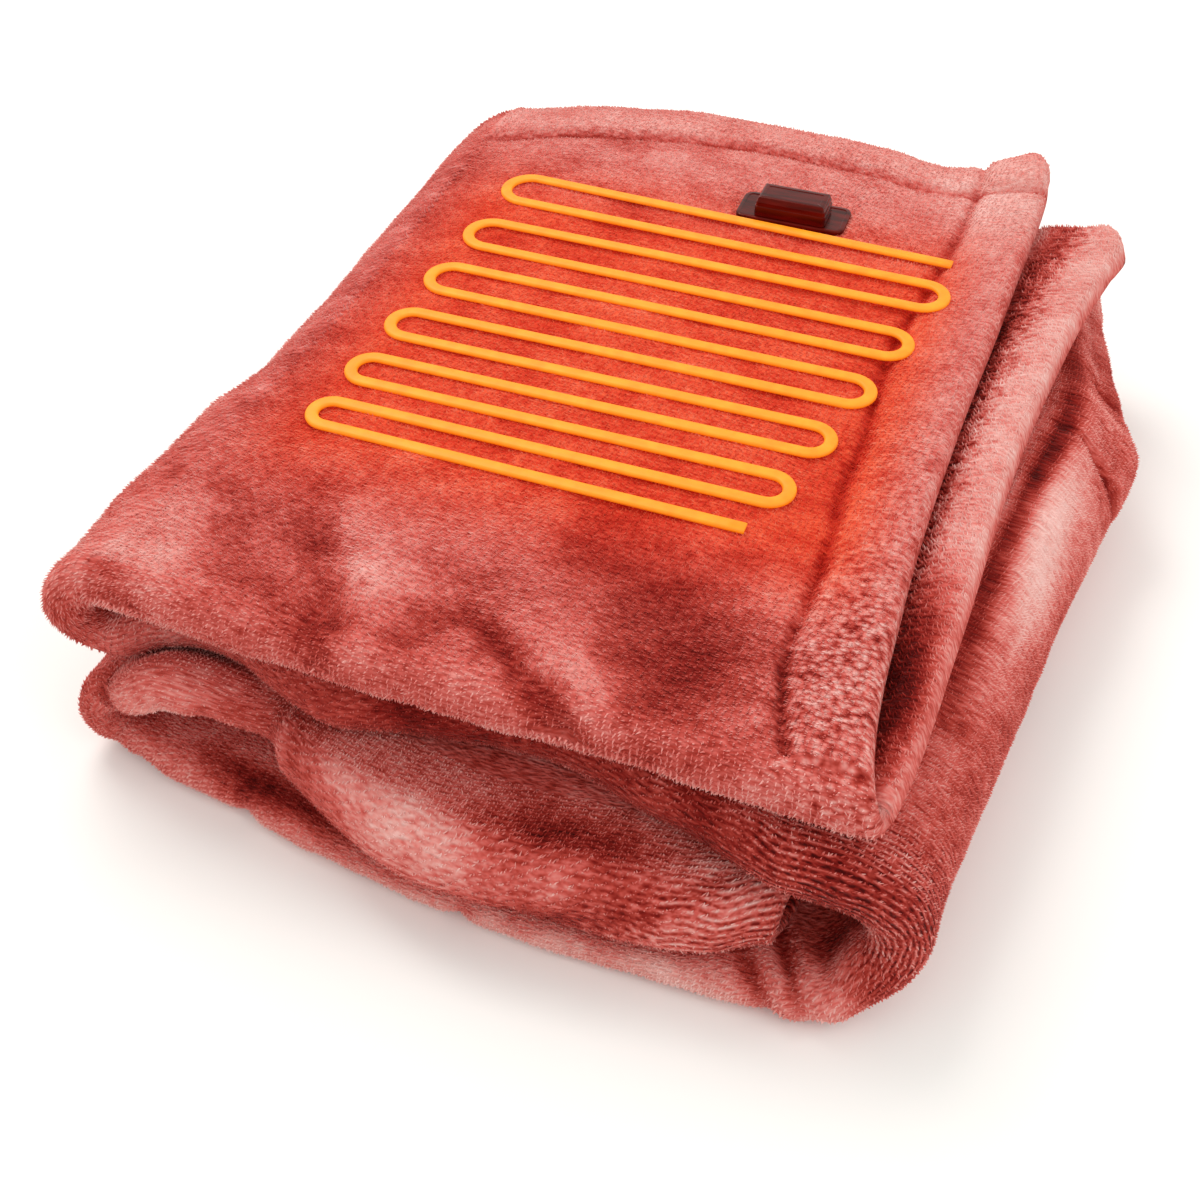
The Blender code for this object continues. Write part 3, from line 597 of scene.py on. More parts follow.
# %% Outer and inner face
def cloth_skins(along, across):
    """The outer and the inner face, the cloth's directions and the relief of its outer face."""
    middle, depth = cloth_middle(along, across)
    forward, sideways, normal = cloth_directions(along, across)
    x, y = middle[:, 0], middle[:, 1]
    layer = layer_of(across)
    on_top_run = along < PATH_JOINTS[1]
    from_start = np.where(on_top_run, joint_x(0, y, layer) - x, FAR)
    from_end = np.where(along > PATH_JOINTS[6], joint_x(7, y, layer) - x, FAR)
    back_y = np.where(layer < 0.5, from_folds(along, "back_upper"), from_folds(along, "back_under"))
    from_back = back_y - y
    cloth = settle(along, depth, "cloth")
    edge = rounded(from_start, cloth / 2) * rounded(from_end, cloth / 2) * rounded(from_back, cloth / 2)
    relief = outer_relief(middle, along, across, from_start, from_back)
    shown = np.maximum(from_stations(y, "under_hem") - from_stations(y, "upper_hem"), LEAST_SHOWN)
    inside = np.clip(from_start / shown, 0, 1)
    roll = UNDER_PUFF * np.clip(shown / UNDER_HEM, 0, 1) * (4 * inside * (1 - inside)) ** 0.6
    inner = cloth / 2 + np.where(on_top_run & (across > ACROSS_JOINTS[2]), roll, 0)
    outer_face = middle + normal * ((cloth / 2 + relief) * edge)[:, None]
    inner_face = middle - normal * (inner * edge)[:, None]
    outer_face[:, 2] = np.maximum(outer_face[:, 2], 0)
    return outer_face, inner_face, (forward, sideways, normal), relief


# %% [markdown]
# ## A mesh that is fine where it shows
#
# A million equal squares would be wasteful, because most of this cloth lies inside the pack. So we
# start with cells of 20 mm in `along` and `across` and halve them, in each direction by itself, until
# they are as small as a table of zones asks. A cell next to a finer one takes its neighbour's points
# into its own outline. It becomes a face with more than four corners, and the skin has no cracks.
# A zone counts for a cell when it holds the cell's middle, so the last ones reach past the cloth's
# own ends, to 1450 mm along and 940 mm across.

# %% Cells of the mesh
BASE_CELL = 20 * MM
HALVINGS = 5
CELLS_ALONG = round(PATH_JOINTS[-1] / BASE_CELL)
CELLS_ACROSS = round(ACROSS_JOINTS[-1] / BASE_CELL)
UNITS = 2 ** HALVINGS                       # lattice steps in one base cell
UNIT_ALONG = PATH_JOINTS[-1] / (CELLS_ALONG * UNITS)
UNIT_ACROSS = ACROSS_JOINTS[-1] / (CELLS_ACROSS * UNITS)

Zone = namedtuple("Zone", "along_from along_to across_from across_to along_size across_size")
INNER_ZONES = (
    Zone(300, 356, 0, 940, 5, 20), Zone(666, 786, 0, 940, 10, 20), Zone(1096, 1154, 0, 940, 5, 20),
    Zone(0, 1450, 445, 497, 20, 2.5), Zone(0, 1450, 420, 520, 20, 10),
    Zone(0, 12, 0, 940, 2.5, 20), Zone(1428, 1450, 0, 940, 2.5, 20), Zone(0, 45, 470, 940, 5, 20),
    Zone(0, 1450, 0, 12, 20, 2.5), Zone(0, 1450, 920, 940, 20, 2.5),
)
OUTER_ZONES = INNER_ZONES + (
    Zone(0, 362, 0, 482, 2.5, 2.5),             # top and upper left turn
    Zone(0, 1450, 440, 512, 2.5, 2.5),          # rolled front edge of every run
    Zone(640, 800, 470, 940, 2.5, 2.5),         # right side
    Zone(1080, 1165, 470, 940, 5, 5),           # lower left side
    Zone(0, 48, 0, 482, 1.25, 1.25),            # right hem
    Zone(0, 356, 0, 12, 2.5, 1.25),             # back edge
    Zone(0, 8, 470, 940, 1.25, 5),              # edge of the under layer
)


ROUNDING_ROOM = 1.2                 # a cell may be this much larger than its zone asks


def wanted_size(zones, along, across):
    """Largest cell that the zones allow at a place, in millimetres."""
    sizes = [(zone.along_size, zone.across_size) for zone in zones
             if zone.along_from <= along < zone.along_to and zone.across_from <= across < zone.across_to]
    if not sizes:
        return BASE_CELL / MM, BASE_CELL / MM
    return min(size[0] for size in sizes), min(size[1] for size in sizes)


def leaf_cells(zones):
    """Cells (i, j, width, height) in lattice steps, split until the zones are content."""
    todo = [(i * UNITS, j * UNITS, UNITS, UNITS) for i in range(CELLS_ALONG) for j in range(CELLS_ACROSS)]
    leaves = []
    while todo:
        i, j, width, height = todo.pop()
        centre = ((i + width / 2) * UNIT_ALONG / MM, (j + height / 2) * UNIT_ACROSS / MM)
        along_size, across_size = wanted_size(zones, *centre)
        if width > 1 and width * UNIT_ALONG / MM > along_size * ROUNDING_ROOM:
            todo += [(i, j, width // 2, height), (i + width // 2, j, width // 2, height)]
        elif height > 1 and height * UNIT_ACROSS / MM > across_size * ROUNDING_ROOM:
            todo += [(i, j, width, height // 2), (i, j + height // 2, width, height // 2)]
        else:
            leaves.append((i, j, width, height))
    return leaves


outer_cells = leaf_cells(OUTER_ZONES)
inner_cells = leaf_cells(INNER_ZONES)
print("cells on the outer face:", len(outer_cells), "and on the inner face:", len(inner_cells))


# %% Corners and outlines of the cells
LAST_I = CELLS_ALONG * UNITS
LAST_J = CELLS_ACROSS * UNITS


def on_rim(i, j):
    return i in (0, LAST_I) or j in (0, LAST_J)


def corners_of(cells):
    return {(i + di, j + dj) for i, j, width, height in cells for di in (0, width) for dj in (0, height)}


def outline(cell, used):
    """The lattice points round a cell, with those that finer neighbours put on its sides."""
    i, j, width, height = cell
    points = [(i + k, j) for k in range(width) if (i + k, j) in used or k == 0]
    points += [(i + width, j + k) for k in range(height) if (i + width, j + k) in used or k == 0]
    points += [(i + width - k, j + height) for k in range(width)
               if (i + width - k, j + height) in used or k == 0]
    points += [(i, j + height - k) for k in range(height) if (i, j + height - k) in used or k == 0]
    return points


outer_points = corners_of(outer_cells)
inner_points = corners_of(inner_cells)
rim_points = {point for point in outer_points | inner_points if on_rim(*point)}
outer_points |= rim_points
inner_points |= rim_points
print("points on the outer face:", len(outer_points), "on the rim:", len(rim_points))


# %% [markdown]
# ## Making the cloth
#
# The lattice points go through the fold functions all at once, as arrays. We also keep, for each
# point, its two distances over the cloth. They become a UV map, so that the weave and the pile follow
# the folds as they do on real cloth. Round the rolled front edge the outer face is nearly twice as
# long as the middle of the cloth, and it is longer round the edges too. The map follows both.

# %% Cloth mesh
def lattice_places(points):
    """Distances along and across of lattice points."""
    ij = np.array(points, float)
    return ij[:, 0] * UNIT_ALONG, ij[:, 1] * UNIT_ACROSS


ROLL_STRETCH = 0.9                  # how much longer the outer face is round the rolled edge
EDGE_RADIUS = 6 * MM


def round_the_edge(distance):
    """How much longer the way over the rounded edge is than the plain distance from it."""
    inside = np.clip(distance / EDGE_RADIUS, 0, 1)
    return EDGE_RADIUS * (np.arccos(1 - inside) - inside)


def over_surface(along, across):
    """Both distances, measured over the face of the cloth."""
    roll = ROLL_STRETCH * np.clip(across - ACROSS_JOINTS[1], 0, ACROSS_LENGTHS[1] * MM)
    along_face = along + round_the_edge(along) - round_the_edge(PATH_JOINTS[-1] - along)
    across_face = across + roll + round_the_edge(across) - round_the_edge(ACROSS_JOINTS[-1] - across)
    return along_face, across_face


def cut_map_of(data, along, across):
    """Give a mesh the UV map `cut`: its places over the cut cloth, in metres."""
    places = np.stack(over_surface(along, across), axis=-1)
    loops = np.empty(len(data.loops), int)
    data.loops.foreach_get("vertex_index", loops)
    data.uv_layers.new(name="cut").data.foreach_set("uv", places[loops].ravel())


def to_part(points):
    """From the tables' frame to the part's own, which has its origin under the middle of the pack."""
    return points - np.array((*CENTRE, 0.0))


outer_list = sorted(outer_points)
inner_list = sorted(inner_points - rim_points)
outer_place = lattice_places(outer_list)
inner_place = lattice_places(inner_list)
outer_face, _, _, outer_lift = cloth_skins(*outer_place)
_, inner_face, _, inner_lift = cloth_skins(*inner_place)

outer_index = {point: k for k, point in enumerate(outer_list)}
inner_index = {point: k + len(outer_list) for k, point in enumerate(inner_list)}
inner_index.update({point: outer_index[point] for point in rim_points})
outer_faces = [[outer_index[point] for point in outline(cell, outer_points)] for cell in outer_cells]
inner_faces = [[inner_index[point] for point in reversed(outline(cell, inner_points))]
               for cell in inner_cells]

cloth_data = bpy.data.meshes.new("folded_blanket")
cloth_data.from_pydata(to_part(np.concatenate((outer_face, inner_face))), [], outer_faces + inner_faces)
cloth_data.update()
cloth_data.shade_smooth()
cloth = bpy.data.objects.new("folded_blanket", cloth_data)
bpy.context.scene.collection.objects.link(cloth)
triangles = sum(len(face) - 2 for face in outer_faces + inner_faces)
print("triangles in the cloth:", triangles)

# %% Keep the places on the cut cloth as a UV map
cut_place = np.concatenate((np.stack(outer_place, axis=-1), np.stack(inner_place, axis=-1)))
cut_map_of(cloth_data, *cut_place.T)
print("cut place of the last point, mm:", np.round(cut_place[-1] / MM))

# %% [markdown]
# ## Marks that the material reads
#
# A material can't know that a place lies under the warm wires or deep in a fold. We write that down
# for each point of the mesh, as attributes. `glow` is a painted glow, warm red round the heating rows.
# The brush and shade mark is paler above a half: partly where a hand has stroked the pile, and partly
# painted highlight on humps and lips, with painted shade in troughs, hollows and deep in the pack.
# `curl` is where the pile curls up in lumps, `rows` is where the cloth bends so hard that its pile
# opens in rows, and `row` counts those rows. `tip` is 1 at the tip of a tuft, which is painted paler
# as a highlight.

# %% Patches of painted shade, painted highlight and pile tone on the top
Patch = namedtuple("Patch", "x y wide deep tone")
TOP_SHADE_AND_TONE = (             # on the top: place and size in millimetres, pale + or dark -
    Patch(88, -172, 32, 44, -0.24),         # painted shade in the hollow beside the right hem
    Patch(62, -138, 26, 20, -0.15),
    Patch(108, -137, 14, 10, 0.35),
    Patch(-71, -173, 14, 11, -0.15),
    Patch(-79, -203, 14, 9, -0.22),
    Patch(-61, -213, 12, 8, -0.20),
    Patch(-26, -209, 14, 9, -0.25),
    Patch(0, -188, 16, 10, -0.35),
    Patch(-40, -180, 16, 8, 0.35),
    Patch(-152, -199, 22, 12, 0.30),
    Patch(-105, -211, 18, 8, 0.30),
    Patch(-20, -222, 60, 7, 0.35),
    Patch(60, -226, 50, 7, 0.30),
    Patch(138, 190, 30, 40, 0.35),
    Patch(20, 190, 160, 40, 0.30),          # along the back
)


def top_shade_and_tone(points, on_top):
    """Painted shade, painted highlight and pile tone of the patches on the top."""
    tone = np.zeros(len(points))
    for patch in TOP_SHADE_AND_TONE:
        away_x = (points[:, 0] / MM - patch.x) / patch.wide
        away_y = (points[:, 1] / MM - patch.y) / patch.deep
        tone += patch.tone * np.exp(-away_x ** 2 - away_y ** 2)
    return tone * on_top


print("patches on the top:", len(TOP_SHADE_AND_TONE))

# %% Painted shade, painted highlight and pile tone on the folds
FoldPatch = namedtuple("FoldPatch", "at across wide deep tone outside", defaults=(True,))
FOLD_SHADE_AND_TONE = (        # on the folds: part of the path, distance across, size
    FoldPatch(1.10, 440, 16, 26, 0.25),     # upper left turn
    FoldPatch(1.50, 455, 20, 40, -0.20),
    FoldPatch(2.10, 470, 40, 14, 0.10),     # second run
    FoldPatch(2.50, 472, 75, 15, -0.55),
    FoldPatch(2.88, 470, 60, 20, -0.50),
    FoldPatch(2.95, 490, 50, 9, 0.20),
    FoldPatch(3.15, 475, 30, 22, -0.35),    # right turn
    FoldPatch(3.65, 444, 45, 12, -0.80),    # painted shade inside its mouth
    FoldPatch(3.175, 720, 3, 140, -0.80),   # shade under the second hem
    FoldPatch(3.24, 710, 11, 55, 0.65),     # painted highlight down the right side
    FoldPatch(3.31, 640, 10, 36, 0.20),
    FoldPatch(3.35, 674, 12, 26, 0.45),
    FoldPatch(3.36, 560, 30, 60, -0.20),
    FoldPatch(3.50, 640, 18, 90, -0.30),
    FoldPatch(3.45, 800, 30, 90, -0.15),
    FoldPatch(3.60, 480, 26, 22, -0.25),
    FoldPatch(3.64, 472, 12, 12, -0.25),
    FoldPatch(4.16, 468, 30, 8, 0.40),
    FoldPatch(4.40, 474, 120, 12, 0.45),    # bottom run
    FoldPatch(4.74, 459, 36, 8, -0.85),     # painted shade deep in the mouth on its left
    FoldPatch(5.50, 480, 36, 30, -0.10),    # lower left turn
    FoldPatch(6.08, 462, 24, 12, 0.50),     # painted highlight on its lip
    FoldPatch(6.35, 462, 24, 24, -0.25),    # inner run
    FoldPatch(6.62, 449, 85, 15, -0.80),
    FoldPatch(6.50, 478, 50, 7, 0.50),
    FoldPatch(6.70, 489, 32, 9, -0.65),
    FoldPatch(6.93, 484, 26, 8, 0.20),
    FoldPatch(0.05, 540, 11, 60, -1.60, False),     # painted shade on the inner face at the second hem's front end
    FoldPatch(0.10, 740, 9, 300, -1.20, False),     # painted shade beside the upper hem
)
CURLS = (               # where the pile curls up in lumps
    FoldPatch(0.05, 425, 26, 55, 0.9),              # front end of the right hem
    FoldPatch(0.05, 330, 20, 110, 0.4),
    FoldPatch(6.84, 460, 30, 16, 0.7),              # inner run
    FoldPatch(0.08, 740, 10, 300, 1.0, False),      # beside the upper hem
)


def fold_tone(table, along, across, outside):
    """Tone of a table of patches on the folds. Each patch lies on the outer or the inner face."""
    tone = np.zeros(len(along))
    for patch in table:
        away = (along - along_path(patch.at)) / MM / patch.wide
        spot = np.exp(-away ** 2 - ((across / MM - patch.across) / patch.deep) ** 2)
        tone += np.where(outside == patch.outside, patch.tone * spot, 0)
    return tone


print("patches on the folds:", len(FOLD_SHADE_AND_TONE))

# %% Painted shade and highlight of the relief, the painted glow and the rows
GLOW_FRONT = (-165, -95)            # where the glow comes in at the front, in millimetres of Y
GLOW_BACK = (90, 175)               # and where it goes out at the back
GLOW_LEFT = (-165, -110)            # the same in millimetres of X
GLOW_RIGHT = (118, 150)
ROW_PITCH = 2.8 * MM
ROW_WANDER = 1.8 * MM


def painted_relief_shade(lift):
    """Painted shade where the relief is low and painted highlight where it is high."""
    return 0.32 * np.clip(lift / (2.5 * MM), -1.3, 0.6)


def soft_step(value, start, end):
    """0 up to `start`, 1 from `end` on, and smooth between them."""
    f = np.clip((value - start) / (end - start), 0, 1)
    return f * f * (3 - 2 * f)


def glow_at(points, on_top):
    """Painted glow, warm red round the heating rows, which fades on all four sides."""
    x, y = points[:, 0] / MM, points[:, 1] / MM
    across_rows = soft_step(y, *GLOW_FRONT) * (1 - soft_step(y, *GLOW_BACK))
    along_rows = soft_step(x, *GLOW_LEFT) * (1 - soft_step(x, *GLOW_RIGHT))
    return on_top * across_rows * along_rows


def rows_at(along, across):
    """Where the pile opens in rows: at the rolled edge of the second run, right turn and inner run."""
    place = along / MM              # the steps below are millimetres along
    second = 0.3 * soft_step(place, 480, 560) + 0.7 * soft_step(place, 625, 665)
    second *= 1 - soft_step(place, 722, 768)
    inner = 0.3 * soft_step(place, 1230, 1300) + 0.7 * soft_step(place, 1370, 1420)
    round_front = np.exp(-((across / MM - 474) / 36) ** 2)
    return np.clip((second + inner) * round_front, 0, 1)


def row_count(along, across):
    """Rows of pile, counted from the back hem. They wander a little."""
    along_face, across_face = over_surface(along, across)
    flat = np.stack((along_face, across_face, np.zeros_like(along)), axis=1)
    return (across_face + ROW_WANDER * soft_noise(flat, 11 * MM)) / ROW_PITCH


print("rows round the roll:", round((ROLL_STRETCH + 1) * ACROSS_LENGTHS[1] * MM / ROW_PITCH, 1))

# %% Store the marks
INNER_HEM_TONE = 0.5                # the inner face is pale at the hems
INNER_DEEP_SHADE = -0.6              # and painted shade deep in the pack
INNER_HEM = 60 * MM


def add_marks(data, along, across, points, outside, lift, tips):
    """Store the marks of each point of a mesh. `tips` is 1 at the tip of a tuft and 0 in the cloth."""
    on_top = (along < PATH_JOINTS[1]) & (across < ACROSS_JOINTS[1]) & outside
    inner_tone = np.where(along < INNER_HEM, INNER_HEM_TONE, INNER_DEEP_SHADE)
    tone = np.where(outside, top_shade_and_tone(points, on_top) + painted_relief_shade(lift), inner_tone)
    tone += fold_tone(FOLD_SHADE_AND_TONE, along, across, outside)
    values_of = {"glow": glow_at(points, on_top), "brush_and_shade": np.clip(0.5 + 0.5 * tone, 0, 1),
                 "curl": np.clip(fold_tone(CURLS, along, across, outside), 0, 1),
                 "rows": rows_at(along, across), "row": row_count(along, across), "tip": tips}
    for name, values in values_of.items():
        data.attributes.new(name, "FLOAT", "POINT").data.foreach_set("value", values.astype(np.float32))


is_outside = np.arange(len(cut_place)) < len(outer_list)
add_marks(cloth_data, cut_place[:, 0], cut_place[:, 1], np.concatenate((outer_face, inner_face)),
          is_outside, np.concatenate((outer_lift, inner_lift)), np.zeros(len(cut_place)))
print("marks:", [mark.name for mark in cloth_data.attributes if mark.data_type == "FLOAT"])

# %% [markdown]
# ## Two helpers for materials
#
# Colours are written as the hex values that a picture editor shows. Blender works with linear light,
# so one function turns them. A second one adds a node with its settings and its links.

# %% Helpers for materials
def linear(hex_colour):
    """An sRGB hex colour as linear RGBA."""
    channels = [int(hex_colour[k:k + 2], 16) / 255 for k in (0, 2, 4)]
    return (*[c / 12.92 if c <= 0.04045 else ((c + 0.055) / 1.055) ** 2.4 for c in channels], 1.0)


def new_material(name):
    """A material with its node tree and its shader."""
    made = bpy.data.materials.new(name)
    made.use_nodes = True
    return made, made.node_tree, made.node_tree.nodes["Principled BSDF"]


def add_node(tree, kind, inputs=None, **settings):
    """Add a node. `inputs` gives sockets by name or number: a value, or another node's output."""
    node = tree.nodes.new(kind)
    for name, value in settings.items():
        setattr(node, name, value)
    for socket, value in (inputs or {}).items():
        if isinstance(value, bpy.types.NodeSocket):
            tree.links.new(value, node.inputs[socket])
        else:
            node.inputs[socket].default_value = value
    return node


def set_ramp(node, stops):
    """Fill a colour ramp with (place, hex colour) stops."""
    elements = node.color_ramp.elements
    while len(elements) > len(stops):
        elements.remove(elements[-1])
    while len(elements) < len(stops):
        elements.new(0.5)
    for element, (place, colour) in zip(elements, stops):
        element.position = place
        element.color = linear(colour)


print("rose in linear light:", [round(c, 3) for c in linear("B5605C")])

# %% [markdown]
# ## Flannel
#
# The cloth is a polyester flannel: knitted, with its pile cut short and brushed up. Light that grazes
# it catches the tips of the fibres, which gives the pale bloom on every edge, and light that falls
# between them comes back deeper and redder. Polyester has an index of refraction of 1.57.
#
# Real tufts are about 1 mm wide and stand in rows 1 to 2 mm apart. That is too fine to show in a
# picture this size, so we draw the tufts 1.3 by 2 mm and the rows 2.8 mm apart. A hand that strokes
# the cloth leaves streaks a few millimetres long and patches of some 20 mm.

# %% Textures over the cut cloth
def scaled(tree, size_along, size_across):
    """The place on the cut cloth, counted in lumps of the given size in millimetres."""
    cut = add_node(tree, "ShaderNodeUVMap", uv_map="cut").outputs["UV"]
    factors = (1 / (size_along * MM), 1 / (size_across * MM), 1)
    return add_node(tree, "ShaderNodeVectorMath", {0: cut, 1: factors}, operation="MULTIPLY").outputs[0]


def cloth_noise(tree, size_along, size_across, detail):
    """Noise over the cut cloth, with lumps of the given size in millimetres."""
    inputs = {"Vector": scaled(tree, size_along, size_across), "Scale": 1.0, "Detail": detail}
    return add_node(tree, "ShaderNodeTexNoise", inputs).outputs["Fac"]


def weighted(tree, parts, start):
    """Sum of node outputs, each times its weight, on top of a start value."""
    total = start
    for output, weight in parts:
        inputs = {0: output, 1: weight, 2: total}
        total = add_node(tree, "ShaderNodeMath", inputs, operation="MULTIPLY_ADD").outputs[0]
    return total


print("a lump of 2 mm takes a factor of", round(1 / (2 * MM)))

# %% Rows and curls
MARKS = ("glow", "brush_and_shade", "curl", "rows", "row", "tip")


def row_waves(tree, marks):
    """Painted shade in the gaps between the rows of pile, broken up by noise, where the rows open."""
    angle = add_node(tree, "ShaderNodeMath", {0: marks["row"], 1: 2 * math.pi}, operation="MULTIPLY")
    wave = add_node(tree, "ShaderNodeMath", {0: angle.outputs[0]}, operation="COSINE")
    broken = add_node(tree, "ShaderNodeMath", {0: cloth_noise(tree, 2.4, 2.2, 1.0), 1: 4.0, 2: -1.5},
                      operation="MULTIPLY_ADD", use_clamp=True)
    parted = add_node(tree, "ShaderNodeMath", {0: broken.outputs[0], 1: marks["rows"]},
                      operation="MULTIPLY")
    return add_node(tree, "ShaderNodeMath", {0: wave.outputs[0], 1: parted.outputs[0]},
                    operation="MULTIPLY").outputs[0]


def curled_lumps(tree, marks):
    """Small lumps where the pile curls up, painted paler on top with painted shade between them."""
    lumps = add_node(tree, "ShaderNodeTexVoronoi", {"Vector": scaled(tree, 3.4, 2.4), "Scale": 1.0})
    raised = weighted(tree, ((lumps.outputs["Distance"], -1.6),), 0.75)
    return add_node(tree, "ShaderNodeMath", {0: raised, 1: marks["curl"]}, operation="MULTIPLY").outputs[0]


print("marks that the flannel reads:", len(MARKS))

# %% Flannel material
def flannel_material(name):
    """Brushed flannel whose tone follows the marks, with a painted warm glow round the heating rows."""
    material, tree, shader = new_material(name)
    marks = {mark: add_node(tree, "ShaderNodeAttribute", attribute_name=mark).outputs["Fac"]
             for mark in MARKS}
    strokes = cloth_noise(tree, 24, 17, 2.0)
    streaks = cloth_noise(tree, 4.5, 1.6, 1.0)
    rows = row_waves(tree, marks)
    curls = curled_lumps(tree, marks)
    # the tips of the tufts are painted paler, as painted highlight
    tone = weighted(tree, ((strokes, 0.38), (streaks, 0.55), (marks["brush_and_shade"], 1.0), (marks["tip"], 0.3),
                           (rows, -0.28), (curls, 0.5)), -0.49)
    cool = add_node(tree, "ShaderNodeValToRGB", {"Fac": tone})
    set_ramp(cool, ((0.0, "4C0504"), (0.2, "861C16"), (0.36, "B03E34"), (0.5, "D06058"), (0.65, "E08A82"),
                    (0.8, "E8AAA2"), (1.0, "F2C8C2")))
    warm = add_node(tree, "ShaderNodeValToRGB", {"Fac": tone})
    set_ramp(warm, ((0.0, "8C0A04"), (0.22, "B42012"), (0.42, "D63C26"), (0.6, "EA603E"), (0.95, "F69C80")))
    glow_mixed = add_node(tree, "ShaderNodeMix", {"Factor": marks["glow"], "A": cool.outputs["Color"],
                                            "B": warm.outputs["Color"]}, data_type="RGBA")
    tree.links.new(glow_mixed.outputs[2], shader.inputs["Base Color"])
    shader.inputs["Roughness"].default_value = 0.95
    shader.inputs["IOR"].default_value = 1.57
    shader.inputs["Specular IOR Level"].default_value = 0.1
    shader.inputs["Sheen Weight"].default_value = 0.14
    shader.inputs["Sheen Roughness"].default_value = 0.4
    shader.inputs["Sheen Tint"].default_value = linear("F2A8A0")
    return material, tree, shader, (streaks, rows, curls)


print("darkest tone in linear light:", [round(c, 3) for c in linear("4C0504")])

# %% Relief of the pile
flannel, tree, shader, (streaks, rows, curls) = flannel_material("brushed polyester flannel")
tufts = add_node(tree, "ShaderNodeTexVoronoi", {"Vector": scaled(tree, 2.0, 1.3), "Scale": 1.0})
height = weighted(tree, ((streaks, 0.8), (tufts.outputs["Distance"], -0.8), (rows, -0.6), (curls, 1.2)), 0.0)
bump = add_node(tree, "ShaderNodeBump", {"Height": height, "Distance": 1.0 * MM, "Strength": 0.9})
tree.links.new(bump.outputs["Normal"], shader.inputs["Normal"])
cloth_data.materials.append(flannel)
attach(cloth, "root")
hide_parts("blanket_cloth")
print("nodes in the flannel:", len(tree.nodes))

# %% [markdown]
# ## Short pile
#
# Relief in a material leaves a smooth outline. Real flannel has tufts that stand up 1 to 2 mm, lean
# the way the cloth was brushed and cling together in clumps. We plant them as closed cones with
# three sides, so each is only four triangles. Real pile is far denser, so ours is drawn coarser. The
# places come from the R2 sequence, which covers a field evenly, and the rest from a fixed seed.

# %% Fields of pile
Field = namedtuple("Field", "name outside along_from along_to across_from across_to tufts height")
FIELDS = (              # the field's edges and the height of its tufts are in millimetres
    Field("pile_top_back", True, 1, 362, 1, 240, 47000, 1.1),
    Field("pile_top_front", True, 1, 362, 240, 482, 49500, 1.1),
    Field("pile_rolls", True, 362, 1437, 438, 508, 49500, 0.75),
    Field("pile_right", True, 650, 800, 508, 930, 32000, 0.8),
    Field("pile_left", True, 1092, 1166, 508, 930, 9500, 0.75),
    Field("pile_under_hem", False, 3, 48, 490, 930, 8500, 1.1),
)
R2_STEPS = np.array((0.7548777, 0.5698403))
TUFT_RADIUS = 0.6 * MM
TUFT_ROOT = 0.5 * MM                # how deep the cone stands in the cloth
HEIGHT_RANGE = (0.7, 1.25)          # each tuft's height as a share of its field's
LEAN = np.array((0.5, 0.7)) * MM    # how far a tip leans along and across the cloth
LEAN_SPREAD = 0.22 * MM
SWIRL_SIZE = 30 * MM                # how far apart the lean changes
CLUMP = np.array((2.9, 1.7)) * MM
CLUMP_PULL = 0.55                   # how far the tips move to the middle of their clump
CLUMP_TABLE = 64
ROW_PULL = 0.3                      # how far the roots move to the middle of their row
ROOT_MARK = 0.15                    # the mark `tip` at the root of a tuft
generator = np.random.default_rng(11)
clump_shift = generator.uniform(-0.35, 0.35, (CLUMP_TABLE, CLUMP_TABLE, 2))
print("tufts:", sum(field.tufts for field in FIELDS))


# %% Tufts
def spread(field):
    """Places that cover the field evenly, as distances along and across."""
    steps = np.arange(field.tufts)[:, None] * R2_STEPS
    low = np.array((field.along_from, field.across_from)) * MM
    high = np.array((field.along_to, field.across_to)) * MM
    return low + (high - low) * (steps % 1)


def in_rows(place):
    """Draw the places towards the middle of their row where the pile opens in rows."""
    along, across = place.T
    count = row_count(along, across)
    to_middle = (np.floor(count) + 0.5 - count) * ROW_PITCH * ROW_PULL
    return np.stack((along, across + to_middle * rows_at(along, across)), axis=1)


def clump_offset(place):
    """How far the tips at these places move to the middle of their clump."""
    cell = np.floor(place / CLUMP).astype(int)
    shift = clump_shift[cell[:, 0] % CLUMP_TABLE, cell[:, 1] % CLUMP_TABLE]
    return ((cell + 0.5 + shift) * CLUMP - place) * CLUMP_PULL


def plant(field):
    """Corners of the field's tufts, three round the root and the tip, with each root's place and lift."""
    place = in_rows(spread(field))
    outer, inner, (forward, sideways, normal), lift = cloth_skins(place[:, 0], place[:, 1])
    root, out = (outer, normal) if field.outside else (inner, -normal)
    flat = np.concatenate((place, np.zeros((len(place), 1))), axis=1)
    swirl = 1 + 1.2 * soft_noise(flat, SWIRL_SIZE)[:, None]
    lean = clump_offset(place) + LEAN * swirl + generator.normal(0, LEAN_SPREAD, (len(place), 2))
    height = field.height * MM * generator.uniform(*HEIGHT_RANGE, len(place))
    tip = root + forward * lean[:, :1] + sideways * lean[:, 1:] + out * height[:, None]
    start = generator.uniform(0, 2 * math.pi, len(place))
    corners = []
    for k in range(3):
        angle = (start + k * 2 * math.pi / 3)[:, None]
        ring = forward * np.cos(angle) + sideways * np.sin(angle)
        corners.append(root + ring * TUFT_RADIUS - out * TUFT_ROOT)
    points = np.stack(corners + [tip], axis=1)
    points[:, :, 2] = np.maximum(points[:, :, 2], 0)
    return points.reshape(-1, 3), place, lift


print("tufts on the top stand up, mm:", [round(FIELDS[0].height * share, 2) for share in HEIGHT_RANGE])

# %% Plant the pile
pile_material = flannel_material("brushed tufts of the flannel")[0]


